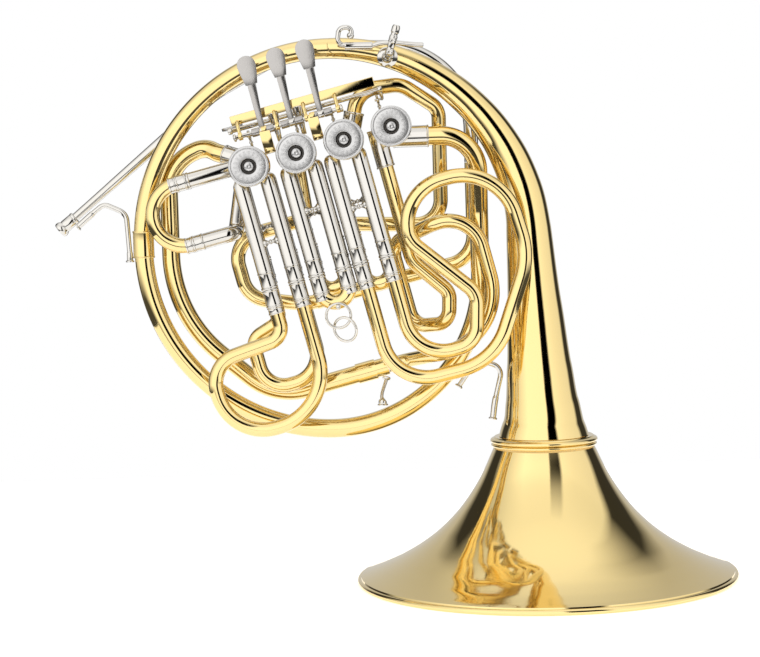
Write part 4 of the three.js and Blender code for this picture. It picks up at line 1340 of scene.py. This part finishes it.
    def build_rotor(self, number: int) -> None:
        """Builds a rotor with its shaft, its stop arm, the arm's centre screw and the linkage pin."""
        node = f"rotor_{number + 1}"
        low, high = row_box(node)
        plate_low, plate_high = row_box(f"bearing_plate_{number + 1}")
        middle = (plate_low + plate_high) / 2
        arm_front = plate_high.y + 0.00035
        arm_thick = 0.0026
        radius = 0.0124
        body_length = plate_low.y - 0.0007 - low.y
        outline = [
            (0, 0), (radius, 0), (radius, body_length), (0.003, body_length),
            (0.003, arm_front - low.y), (0, arm_front - low.y),
        ]
        core = turned(node + "_core", outline, facing_back(middle.x, low.y, middle.z), 48, edge=0.0003)
        handed_in(core, node, Metal.BARE_BRASS, [node])
        side = 1 if number < 2 else -1
        tip = 0.0026
        ring = [math.radians(angle) for angle in range(0, 181, 20)]
        shape = [(self.arm_reach + tip * math.sin(a), tip * math.cos(a)) for a in ring]
        shape += [(-0.0042 * math.sin(a), -0.0042 * math.cos(a)) for a in ring]
        angle = math.pi / 4 if side > 0 else 3 * math.pi / 4
        arm_place = (
            ROW @ Matrix.Translation((middle.x, arm_front + arm_thick / 2, middle.z))
            @ Matrix.Rotation(math.pi / 2, 4, "X") @ Matrix.Rotation(angle, 4, "Z")
        )
        arm = cut_plate(node + "_arm", shape, arm_thick, arm_place, 0.0004)
        back = facing_back(middle.x, arm_front + arm_thick, middle.z)
        centre_screw = self.slotted_screw(node + "_screw", back, 0.0022, 0.0007)
        offset = self.arm_reach * math.sqrt(0.5)
        pin_place = back @ Matrix.Translation((side * offset, -offset, 0))
        pin_length = high.y - arm_front - arm_thick
        pin_outline = [
            (0, -0.001), (0.0012, -0.001), (0.0012, pin_length - 0.0012), (0.0020, pin_length - 0.0010),
            (0.0020, pin_length - 0.0003), (0.0014, pin_length), (0, pin_length),
        ]
        pin = turned(node + "_pin", pin_outline, pin_place, 20, edge=0.0001)
        piece = joined(f"stop_arm_{number + 1}", [arm, centre_screw, pin])
        handed_in(piece, node, Metal.NICKEL_SILVER, [node])

    def build(self) -> None:
        """Builds all four valves."""
        for number in range(self.count):
            self.build_casing(number)
            self.build_cap(number)
            self.build_plate(number)
            self.build_rotor(number)


# ------------------------------------------------------------------ levers


@dataclass
class Levers:
    """The finger levers on their hinge rod, the bridge that holds them, the thumb lever and the links."""

    hub_half: float = 0.0023
    hub_radius: float = 0.0031
    rod_bore: float = 0.00195
    arm_thickness: float = 0.0017
    lean: float = 0.0012
    crank_radius: float = 0.0015
    strap_thickness: float = 0.0014
    barrel: float = 0.0064
    crease: float = 0.037
    arm_low: float = 0.0046
    arm_high: float = 0.0068
    plate_low: float = 0.0094
    plate_high: float = 0.0148
    plate_thickness: float = 0.0016
    plate_tilt: float = math.radians(-4)
    strap_width: float = 0.0085

    @cached_property
    def rod_spot(self) -> Vector:
        """The hinge rod's depth and height in the row's frame."""
        return ROW.inverted() @ Vector(joint("lever_1_press")["pos_m"])

    def hub_x(self, number: int) -> float:
        """How far along the row a finger lever's hub is."""
        return (ROW.inverted() @ Vector(joint(f"lever_{number + 1}_press")["pos_m"])).x

    def facing(self, x: float, y: float, z: float) -> Matrix:
        """A place in the row's frame, with X along the row and Y up, so that plates face the caps."""
        return ROW @ Matrix.Translation((x, y, z)) @ Matrix.Rotation(math.pi / 2, 4, "X")

    def build_lever(self, number: int) -> None:
        """Builds one finger lever: touch plate, arm, hub, crank and its pin."""
        node = f"finger_lever_{number + 1}"
        high = row_box(node)[1]
        x = self.hub_x(number)
        depth, height = self.rod_spot.y, self.rod_spot.z
        half_low, half_high = self.arm_low / 2, self.arm_high / 2
        lean = self.lean
        arm_outline = [
            (-half_low, 0), (half_low, 0), (half_low * 1.05, 0.012), (half_high + lean, self.crease),
            (-half_high + lean, self.crease), (-half_low * 1.05, 0.012),
        ]
        arm = cut_plate(node + "_arm", arm_outline, self.arm_thickness, self.facing(x, depth, height), 0.0003)
        reach = high.z - height - self.crease
        wide, narrow = self.plate_high / 2, self.plate_low / 2
        top = reach - wide
        sweep = [math.radians(angle) for angle in range(0, 181, 12)]
        swell = narrow + (wide - narrow) * 0.62
        plate_outline = [(-narrow, 0), (narrow, 0), (swell, top * 0.5), (wide * 0.985, top * 0.86)]
        plate_outline += [(wide * math.cos(a), top + wide * math.sin(a)) for a in sweep]
        plate_outline += [(-wide * 0.985, top * 0.86), (-swell, top * 0.5)]
        plate_place = (
            ROW @ Matrix.Translation((x + lean, depth, height + self.crease))
            @ Matrix.Rotation(self.plate_tilt, 4, "X") @ Matrix.Rotation(math.pi / 2, 4, "X")
        )
        plate = cut_plate(node + "_touch", plate_outline, self.plate_thickness, plate_place, 0.0005)
        hub_outline = [
            (self.rod_bore, 0), (self.hub_radius, 0), (self.hub_radius, 2 * self.hub_half),
            (self.rod_bore, 2 * self.hub_half),
        ]
        hub = turned(
            node + "_hub", hub_outline,
            along_row(x - self.hub_half, depth, height), 32, edge=0.0003,
        )
        touch = joined(node + "_plate", [arm, plate])
        handed_in(touch, f"lever_{number + 1}", Metal.SATIN_NICKEL, [node])
        link_low, link_high = row_box(f"link_rod_{number + 1}")
        link_x = (link_low.x + link_high.x) / 2
        side = math.copysign(1, x - link_x)
        crank_x = link_x + side * 0.0036
        back = (link_low.y + link_high.y) / 2
        path = [
            in_row(x, depth + self.hub_radius - 0.001, height), in_row(x, depth + 0.012, height + 0.0002),
            in_row(crank_x, depth + 0.030, height), in_row(crank_x, back, height),
        ]
        crank = swept(node + "_crank", path, self.crank_radius, 14)
        pin = swept(
            node + "_pin",
            [in_row(crank_x + side * 0.0008, back, height), in_row(link_x - side * 0.0024, back, height)],
            0.001, 12,
        )
        metalwork = joined(node + "_metalwork", [hub, crank, pin])
        handed_in(metalwork, f"lever_{number + 1}", Metal.NICKEL_SILVER, [node])

    def build_strap(self, number: int, offset: float) -> None:
        """Bends a brass strap that hangs from a hub between two casings.

        Args:
            number: Which lever it rides on, from 0.
            offset: How far beside the hub it is.
        """
        x = self.hub_x(number) + offset
        depth, height = self.rod_spot.y, self.rod_spot.z
        thick = self.strap_thickness
        outer = [
            (-0.0028, 0.0008), (-0.0034, -0.004), (-0.0034, -0.0125), (-0.0022, -0.0165), (0.001, -0.0185),
            (0.010, -0.0190),
        ]
        inner = [(y + (thick if y < 0 else 0), z + (thick if y > -0.003 else 0)) for y, z in outer]
        place = (
            ROW @ Matrix.Translation((x, depth, height)) @ Matrix.Rotation(math.pi / 2, 4, "Z")
            @ Matrix.Rotation(math.pi / 2, 4, "X")
        )
        strip = cut_plate("strap_strip", outer + inner[::-1], self.strap_width, place, 0.0003)
        knuckle = turned(
            "strap_knuckle", [(0.0027, 0), (0.0034, 0), (0.0034, 0.0044), (0.0027, 0.0044)],
            along_row(x - 0.0022, depth, height), 28, edge=0.0002,
        )
        piece = joined(f"lever_strap_{number + 1}", [strip, knuckle])
        handed_in(piece, f"lever_{number + 1}", Metal.LACQUERED_BRASS, [])

    def build_rod(self) -> None:
        """Builds the hinge rod with its end knobs and the six barrels that house the springs."""
        low, high = row_box("lever_rod")
        depth, height = self.rod_spot.y, self.rod_spot.z
        length = high.x - low.x
        knob = 0.0030
        outline = [
            (0, 0), (knob * 0.8, 0.0002), (knob, 0.0010), (knob, 0.0022), (0.0016, 0.0026),
            (0.0016, length - 0.0026), (knob, length - 0.0022), (knob, length - 0.0010),
            (knob * 0.8, length - 0.0002), (0, length),
        ]
        rod = turned("lever_rod_turned", outline, along_row(low.x, depth, height), 32)
        handed_in(rod, ROOT, Metal.NICKEL_SILVER, ["lever_rod"])
        barrels = []
        long = self.barrel
        outline = [
            (0.0018, 0), (0.0031, 0), (0.0033, 0.0002), (0.0033, long - 0.0002), (0.0031, long),
            (0.0018, long),
        ]
        for number in range(3):
            for side in (-1, 1):
                nearest = self.hub_x(number) + side * (self.hub_half + 0.0003)
                place = along_row(nearest, depth, height, side)
                barrels.append(turned("barrel", outline, place, 28, edge=0.0001))
        sleeves = joined("lever_barrels", barrels)
        handed_in(sleeves, ROOT, Metal.SATIN_NICKEL, [])

    def build_bridge(self) -> None:
        """Builds the brass bridge behind the hinge rod, with its posts, knuckles and feet."""
        low, high = row_box("lever_bridge")
        depth, height = self.rod_spot.y, self.rod_spot.z
        strip_back = high.y
        strip_depth = strip_back - 0.0013
        strip_low, strip_high = high.z - 0.0078, high.z
        length = high.x - low.x + 0.026
        outline = [(0, strip_low), (length, strip_low), (length, strip_high), (0, strip_high)]
        strip = cut_plate("bridge_strip", outline, 0.0022, self.facing(low.x, strip_depth, 0), 0.0005)
        parts = [strip]
        hubs = [self.hub_x(number) for number in range(3)]
        xs = [low.x + 0.005, (hubs[0] + hubs[1]) / 2, (hubs[1] + hubs[2]) / 2, high.x - 0.007]
        knuckle = self.hub_radius - 0.0001
        for x in xs:
            outline = [(self.rod_bore, 0), (knuckle, 0), (knuckle, 0.0032), (self.rod_bore, 0.0032)]
            parts.append(turned(
                "bridge_knuckle", outline, along_row(x - 0.0016, depth, height), 28, edge=0.0003,
            ))
            path = [
                in_row(x, depth, height + 0.002), in_row(x, depth, height + 0.008),
                in_row(x, depth + 0.003, height + 0.0115),
                in_row(x, strip_depth, height + 0.0125),
            ]
            parts.append(swept("bridge_post", path, 0.0014, 12))
        bridge = joined("lever_bridge_made", parts)
        handed_in(bridge, ROOT, Metal.LACQUERED_BRASS, ["lever_bridge"])
        feet = []
        first = row_box("valve_casing_2")
        middle = (first[0].x + first[1].x) / 2
        for x in (middle - 0.010, middle + 0.010):
            top = strip_low + 0.001
            tall = top - low.z
            outline = [
                (0, 0), (0.0019, 0), (0.0021, tall * 0.25), (0.0044, tall * 0.95), (0.0047, tall),
                (0.0040, tall + 0.0006),
                (0, tall + 0.0006),
            ]
            place = ROW @ Matrix.Translation((x, strip_depth, low.z))
            feet.append(turned("bridge_foot", outline, place, 28))
        posts = joined("bridge_posts", feet)
        handed_in(posts, ROOT, Metal.NICKEL_SILVER, [])

    def build_links(self) -> None:
        """Builds the four links: an eye at each end, a rod and two lock nuts."""
        for number in range(4):
            node = f"link_rod_{number + 1}"
            low, high = row_box(node)
            middle = (low + high) / 2
            top_reach = (high.y - low.y) / 2
            upper = high.z - top_reach
            lower = low.z + (high.x - low.x) / 2 * 0.98
            upper_outer, upper_bore = 0.0045, 0.0032
            lower_outer, lower_bore = 0.0048, 0.0035
            half = 0.0011
            top_eye = turned(
                node + "_top",
                [(upper_bore, -half), (upper_outer, -half), (upper_outer, half), (upper_bore, half)],
                along_row(middle.x, middle.y, upper), 32, edge=0.0003,
            )
            low_eye = turned(
                node + "_low",
                [(lower_bore, -half), (lower_outer, -half), (lower_outer, half), (lower_bore, half)],
                aimed(in_row(middle.x, middle.y, lower), Vector((0, 1, 0))), 32, edge=0.0003,
            )
            start, end = lower + lower_outer - 0.0003, upper - upper_outer + 0.0003
            length = end - start
            outline = [
                (0, 0), (0.0011, 0), (0.0011, 0.0008), (0.0016, 0.0010), (0.0016, 0.0022), (0.0011, 0.0024),
                (0.0011, length - 0.0024), (0.0016, length - 0.0022), (0.0016, length - 0.0010),
                (0.0011, length - 0.0008),
                (0.0011, length), (0, length),
            ]
            stem_place = ROW @ Matrix.Translation((middle.x, middle.y, start))
            stem = turned(node + "_stem", outline, stem_place, 16, edge=0.0001)
            piece = joined(node + "_made", [top_eye, low_eye, stem])
            handed_in(piece, f"link_{number + 1}", Metal.NICKEL_SILVER, [node])

    def build_thumb(self) -> None:
        """Builds the thumb lever: its long shaft, drop arm, crank, pin and crowned paddle."""
        node = "thumb_lever"
        low, high = row_box(node)
        hinge = ROW.inverted() @ Vector(joint("thumb_press")["pos_m"])
        link_low, link_high = row_box("link_rod_4")
        link_x = (link_low.x + link_high.x) / 2
        crank_x = link_x + 0.0036
        crank_height = self.rod_spot.z
        back = (link_low.y + link_high.y) / 2 + 0.0015
        arm_x = low.x + 0.0085
        start_x = arm_x - 0.002
        shaft_outline = [
            (0, 0), (0.0024, 0.0003), (0.0027, 0.0010), (0.0027, 0.0034), (0.0019, 0.0038),
            (0.0019, crank_x - start_x - 0.002), (0.0026, crank_x - start_x - 0.0016),
            (0.0026, crank_x - start_x + 0.0018),
            (0, crank_x - start_x + 0.0020),
        ]
        shaft = turned(
            node + "_shaft", shaft_outline, along_row(start_x, hinge.y, hinge.z), 28,
        )
        crank = swept(node + "_crank", [
            in_row(crank_x, hinge.y, hinge.z), in_row(crank_x, hinge.y + 0.001, hinge.z - 0.004),
            in_row(crank_x, hinge.y + 0.005, crank_height), in_row(crank_x, back, crank_height),
        ], self.crank_radius, 14)
        pin = swept(node + "_pin", [
            in_row(crank_x + 0.0008, back, crank_height), in_row(link_x - 0.0024, back, crank_height),
        ], 0.001, 12)
        arm = swept(node + "_arm", [
            in_row(arm_x, hinge.y, hinge.z), in_row(arm_x, hinge.y + 0.018, hinge.z + 0.0022),
            in_row(arm_x, 0.026, high.z - 0.0026),
        ], 0.0018, 14)
        paddle_depth = high.y - 0.011
        half_wide, half_long = 0.0085, 0.011
        corners = []
        for sx, sy in ((1, 1), (-1, 1), (-1, -1), (1, -1)):
            base = {(1, 1): 0, (-1, 1): 90, (-1, -1): 180, (1, -1): 270}[(sx, sy)]
            for step in range(0, 91, 18):
                angle = math.radians(base + step)
                corners.append((
                    sx * (half_wide - 0.004) + 0.004 * math.cos(angle),
                    sy * (half_long - 0.004) + 0.004 * math.sin(angle),
                ))
        paddle = cut_plate(
            node + "_paddle", corners, 0.0022,
            ROW @ Matrix.Translation((arm_x, paddle_depth, high.z - 0.0011)), 0.0007,
        )
        made = joined(node + "_made", [shaft, crank, pin, arm])
        handed_in(made, "thumb", Metal.NICKEL_SILVER, [node])
        handed_in(paddle, "thumb", Metal.SATIN_NICKEL, [node])

    def build(self) -> None:
        """Builds all the lever gear."""
        for number in range(3):
            self.build_lever(number)
        self.build_strap(0, 0.0010)
        self.build_strap(2, -0.0070)
        self.build_rod()
        self.build_bridge()
        self.build_links()
        self.build_thumb()


# ------------------------------------------------------------------ hook, rings and braces


@dataclass
class HandRests:
    """The adjustable hook for the little finger with its post, and the two rings that pull a slide."""

    flange: float = 0.0083

    def build_hook(self) -> None:
        """Bends the hook with its curl and its sleeve."""
        rings = TubeReader("pinky_hook", 6, True).rings()
        if rings[0].centre.x < rings[-1].centre.x:
            rings = [Ring(ring.centre, -ring.heading, ring.radius) for ring in reversed(rings)]
        thin = min(ring.radius for ring in rings)
        rod = [Ring(ring.centre, ring.heading, thin) for ring in rings]
        share = round_share(6)
        wire = tube("pinky_hook_rod", rod, share, sides=20)
        parts = [wire]
        end = rings[-1]
        parts.append(turned(
            "pinky_hook_tip", [(0, -0.0020), (0.0024, -0.0016), (0.0030, 0), (0.0022, 0.0022), (0, 0.0030)],
            aimed(end.centre, end.heading), 24, edge=0.0004,
        ))
        start = rings[0]
        parts.append(turned(
            "pinky_hook_end",
            [(0, -0.0006), (thin * 0.7, -0.0005), (thin * 0.95, 0.0003), (thin * 0.95, 0.001), (0, 0.001)],
            aimed(start.centre, start.heading), 20, edge=0.0002,
        ))
        wide = max(rings, key=lambda ring: ring.radius)
        number = rings.index(wide)
        along = (rings[number].centre - rings[0].centre).normalized()
        far = Ring(rings[number].centre + along * 0.022, along, wide.radius)
        parts.append(collar("pinky_hook_sleeve", rings[number], far, thin + 0.0010, lip=0.0001))
        hook = joined("pinky_hook_bent", parts)
        handed_in(hook, "hook", Metal.NICKEL_SILVER, ["pinky_hook"])

    def build_post(self) -> None:
        """Builds the clamp post: a flange on the tube, a neck, a stem and its screws."""
        low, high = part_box("hook_post")
        foot = Vector((low.x + 0.0075, high.y - 0.0006, low.z + 0.0075))
        top = Vector((high.x - 0.0028, low.y + 0.003, high.z))
        knee = Vector((foot.x + 0.0012, low.y + 0.0035, foot.z + 0.002))
        out = Vector((0.0, -1, -0.12)).normalized()
        parts = [
            turned("post_flange", [
                (0, -0.0006), (self.flange, -0.0006), (self.flange, 0.0004), (self.flange * 0.9, 0.0009),
                (0.0046, 0.0013), (0.0036, 0.0030), (0.0030, 0.0045), (0, 0.0045),
            ], aimed(foot, out), 40),
            swept("post_neck", [foot + out * 0.002, (foot + knee) / 2 + out * 0.001, knee], 0.0028, 20),
        ]
        way = (top - knee).normalized()
        length = (top - knee).length
        parts.append(turned("post_stem", [
            (0, -0.0022), (0.0024, -0.0018), (0.0033, -0.0006), (0.0033, length * 0.12),
            (0.0029, length * 0.15),
            (0.0029, length * 0.22), (0.0033, length * 0.25), (0.0033, length * 0.62),
            (0.0027, length * 0.65),
            (0.0027, length * 0.72), (0.0033, length * 0.75), (0.0033, length * 0.92), (0.0026, length),
            (0, length),
        ], aimed(knee, way), 28))
        for share in (0.06, 0.45):
            spot = knee + way * length * share + Vector((0, -0.0030, 0))
            parts.append(turned("post_screw", [
                (0, -0.002), (0.0014, -0.002), (0.0014, 0), (0.0023, 0), (0.0023, 0.0011), (0.0016, 0.0016),
                (0.0007, 0.0016), (0.0005, 0.0010), (0, 0.0009),
            ], aimed(spot, Vector((0, -1, 0))), 20, edge=0.0001))
        post = joined("hook_post_made", parts)
        handed_in(post, ROOT, Metal.NICKEL_SILVER, ["hook_post"])

    def build_rings(self) -> None:
        """Bends the two linked pull rings."""
        for number, body in ((1, "ring_upper"), (2, "ring_lower")):
            node = f"pull_ring_{number}"
            spots = [vertex.co for vertex in frame["nodes"][node].data.vertices]
            centre = sum(spots, Vector()) / len(spots)
            reaches = [(spot - centre).length for spot in spots]
            far = max(spots, key=lambda spot: (spot - centre).length) - centre
            radius = (max(reaches) + min(reaches)) / 2
            normal = max(
                (far.cross(spot - centre) for spot in spots if (spot - centre).length > radius * 1.05),
                key=lambda vector: vector.length,
            ).normalized()
            side = far.normalized()
            up = normal.cross(side)
            turns = [math.tau * step / RING_STEPS for step in range(RING_STEPS)]
            points = [centre + (side * math.cos(turn) + up * math.sin(turn)) * radius for turn in turns]
            piece = swept(node + "_bent", points, 0.00105, 14, closed=True)
            handed_in(piece, body, Metal.NICKEL_SILVER, [node])

    def build(self) -> None:
        """Builds the hook, its post and the rings."""
        self.build_hook()
        self.build_post()
        self.build_rings()


@dataclass
class Braces:
    """The bent braces with their feet, the mouthpiece receiver, and the stud that the pull rings hang on."""

    nodes: Sequence[str] = ("receiver_brace", "bell_brace", "coil_strut")
    foot: float = 0.0034

    def build_braces(self) -> None:
        """Bends each brace and gives each end a domed foot."""
        for node in self.nodes:
            rings = TubeReader(node, 6, True).rings()
            share = round_share(6)
            parts = [tube(node + "_rod", rings, share, sides=18)]
            for ring, way in ((rings[0], 1), (rings[-1], -1)):
                radius = max(self.foot, ring.radius + 0.0009)
                outline = [
                    (0, -0.0004), (radius, -0.0004), (radius, 0.0005), (radius * 0.7, 0.0014), (0, 0.0020),
                ]
                parts.append(turned(node + "_foot", outline, aimed(ring.centre, ring.heading * way), 28))
            piece = joined(node + "_bent", parts)
            handed_in(piece, ROOT, Metal.NICKEL_SILVER, [node])

    def build_receiver(self) -> None:
        """Turns the mouthpiece receiver with its mouth bead and its two fine lines."""
        node = "mouthpiece_receiver"
        rings = TubeReader("leadpipe").rings()
        start = min(rings[0], rings[-1], key=lambda ring: ring.centre.x)
        out = -start.heading if start.centre.x < (start.centre + start.heading).x else start.heading
        length = max((vertex.co - start.centre).dot(out) for vertex in frame["nodes"][node].data.vertices)
        outline = [
            (0.0029, 0.0002), (0.0046, 0.0002), (0.0051, 0.0007), (0.0052, 0.0022), (0.0048, 0.0026),
            (0.0050, 0.0030),
            (0.0052, length - 0.0062), (0.0049, length - 0.0058), (0.0052, length - 0.0050),
            (0.0060, length - 0.0040),
            (0.0064, length - 0.0026), (0.0064, length - 0.0012), (0.0058, length - 0.0002),
            (0.0046, length),
            (0.0040, length - 0.0006),
        ]
        piece = turned("mouthpiece_receiver_turned", outline, aimed(start.centre, out), 48)
        handed_in(piece, ROOT, Metal.NICKEL_SILVER, [node])

    def build_upper_sleeve(self) -> None:
        """Turns the upper sleeve of the main tuning slide."""
        node = "tuning_sleeve_upper"
        low, high = row_box(node)
        middle = (low + high) / 2
        radius = (high.y - low.y) / 2 / math.cos(math.pi / 6) * round_share(6)
        length = high.x - low.x
        outline = [
            (radius - 0.0008, 0), (radius + 0.0003, 0), (radius + 0.0006, 0.0005), (radius + 0.0006, 0.0014),
            (radius, 0.0019),
            (radius, length), (radius - 0.0008, length),
        ]
        place = along_row(low.x, middle.y, middle.z)
        piece = turned(node + "_turned", outline, place, 40, edge=0.0001)
        handed_in(piece, ROOT, Metal.NICKEL_SILVER, [node])

    def build_stud(self) -> None:
        """Turns the stud with a knob that holds the upper pull ring."""
        pivot = Vector(joint("ring_upper_swing")["pos_m"])
        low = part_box("f_slide_crook_2")[0]
        length = 0.013
        outline = [
            (0, 0), (0.0030, 0), (0.0022, 0.0009), (0.0010, 0.0014), (0.0010, length - 0.0022),
            (0.0019, length - 0.0018),
            (0.0019, length - 0.0006), (0.0012, length), (0, length),
        ]
        start = Vector((pivot.x, low.y + length - 0.0004, pivot.z))
        piece = turned("pull_ring_stud", outline, aimed(start, Vector((0, -1, 0))), 24, edge=0.0002)
        handed_in(piece, "front_crook_2", Metal.NICKEL_SILVER, [])

    def build(self) -> None:
        """Builds them all."""
        self.build_braces()
        self.build_receiver()
        self.build_upper_sleeve()
        self.build_stud()


# ------------------------------------------------------------------ the set


@dataclass
class Studio:
    """A pale floor, a light tent and the camera."""

    lens: float = 104.4
    camera_offset: Vector = field(default_factory=lambda: Vector((-0.01087, -1.78, 0.341)))
    aim_offset: Vector = field(default_factory=lambda: Vector((-0.01087, 0.0, 0.208)))
    roll: float = math.radians(1.7)
    strength: float = 1.45
    paper: float = 0.69
    floor_glow: float = 0.5
    floor_size: float = 1.3
    walls: Sequence[tuple[float, float]] = (
        (-180, 0.45), (-154, 0.4), (-142, 0.03), (-120, 0.03), (-110, 0.45), (-52, 1.0), (6, 0.98), (9, 0.0),
        (30, 0.0), (36, 0.9), (60, 0.8), (102, 0.7), (113, 0.03), (138, 0.03), (150, 0.4), (180, 0.45),
    )
    roof: Sequence[tuple[float, float]] = ((-90, 0.03), (-10, 0.06), (25, 0.4), (60, 0.75), (90, 0.85))
    roof_share: Sequence[tuple[float, float]] = ((-16, 1), (-6, 0), (38, 0), (68, 1))

    def build_floor(self) -> None:
        """Lays a wide pale floor that the horn stands on."""
        bpy.ops.object.select_all(action="DESELECT")
        bpy.ops.mesh.primitive_plane_add(size=self.floor_size, location=(0, 0, CAD_BOX[0].z))
        floor = bpy.context.object
        floor.name = "floor"
        settle(floor)
        material = bpy.data.materials.new("floor_paper")
        material.use_nodes = True
        tree = material.node_tree
        shader = tree.nodes["Principled BSDF"]
        shader.inputs["Roughness"].default_value = 0.7
        shader.inputs["Emission Color"].default_value = (1, 1, 1, 1)
        shader.inputs["Emission Strength"].default_value = self.floor_glow
        place = add_node(tree, "TexCoord")
        mottle = add_node(tree, "TexNoise", in_Scale=3.0, in_Detail=2.0)
        tree.links.new(place.outputs["Object"], mottle.inputs["Vector"])
        tint = add_node(tree, "Mix", data_type="RGBA")
        tint.inputs["A"].default_value = (0.92, 0.92, 0.92, 1)
        tint.inputs["B"].default_value = (0.95, 0.95, 0.95, 1)
        tree.links.new(mottle.outputs["Fac"], tint.inputs["Factor"])
        tree.links.new(tint.outputs["Result"], shader.inputs["Base Color"])
        floor.data.materials.append(material)

    def build_world(self) -> None:
        """Surrounds the horn with a white tent that has dark gaps in it."""
        world = bpy.data.worlds.new("tent")
        bpy.context.scene.world = world
        world.use_nodes = True
        tree = world.node_tree
        background = tree.nodes["Background"]
        place = add_node(tree, "TexCoord")
        parts = add_node(tree, "SeparateXYZ")
        tree.links.new(place.outputs["Generated"], parts.inputs["Vector"])
        back = reckon(tree, "MULTIPLY", parts.outputs["Y"], -1.0)
        bearing = reckon(tree, "ARCTAN2", parts.outputs["X"], back)
        share = add_node(tree, "MapRange", in_1=-math.pi, in_2=math.pi)
        tree.links.new(bearing, share.inputs["Value"])
        walls = add_ramp(tree, [(0.5 + degrees / 360, level) for degrees, level in self.walls])
        tree.links.new(share.outputs["Result"], walls.inputs["Fac"])
        lift = add_node(tree, "MapRange", in_1=-1.0, in_2=1.0)
        tree.links.new(parts.outputs["Z"], lift.inputs["Value"])
        roof, blend = (
            add_ramp(tree, [(0.5 + 0.5 * math.sin(math.radians(angle)), level) for angle, level in levels])
            for levels in (self.roof, self.roof_share)
        )
        tree.links.new(lift.outputs["Result"], roof.inputs["Fac"])
        tree.links.new(lift.outputs["Result"], blend.inputs["Fac"])
        tent = add_node(tree, "Mix", data_type="RGBA")
        tree.links.new(blend.outputs["Color"], tent.inputs["Factor"])
        tree.links.new(walls.outputs["Color"], tent.inputs["A"])
        tree.links.new(roof.outputs["Color"], tent.inputs["B"])
        path = add_node(tree, "LightPath")
        seen = add_node(tree, "Mix", data_type="RGBA")
        tree.links.new(path.outputs["Is Camera Ray"], seen.inputs["Factor"])
        tree.links.new(tent.outputs["Result"], seen.inputs["A"])
        seen.inputs["B"].default_value = (self.paper, self.paper, self.paper, 1)
        tree.links.new(seen.outputs["Result"], background.inputs["Color"])
        background.inputs["Strength"].default_value = self.strength

    def build_camera(self) -> None:
        """Sets up the camera at the height and distance that the horn is seen from."""
        centre = Vector(((CAD_BOX[0].x + CAD_BOX[1].x) / 2, 0, CAD_BOX[0].z))
        eye = centre + self.camera_offset
        aim = centre + self.aim_offset
        bpy.ops.object.camera_add(location=eye)
        camera = bpy.context.object
        camera.name = "camera"
        turn = (aim - eye).to_track_quat("-Z", "Y").to_matrix().to_4x4()
        camera.matrix_world = Matrix.Translation(eye) @ turn @ Matrix.Rotation(-self.roll, 4, "Z")
        camera.data.lens = self.lens
        camera.data.sensor_width = 36
        camera.data.clip_end = 100
        bpy.context.scene.camera = camera
        bpy.context.scene.view_settings.view_transform = "Standard"

    def build(self) -> None:
        """Builds the set."""
        self.build_floor()
        self.build_world()
        self.build_camera()


# ------------------------------------------------------------------ assembly


def main() -> None:
    """Builds every sub-assembly in order."""
    logging.basicConfig(level=logging.INFO, format="%(name)s %(message)s")
    FINISHES.build()
    Bell().build()
    FixedTubes().build()
    Slides().build()
    Valves().build()
    Levers().build()
    HandRests().build()
    Braces().build()
    Studio().build()


if __name__ == "__main__":
    main()
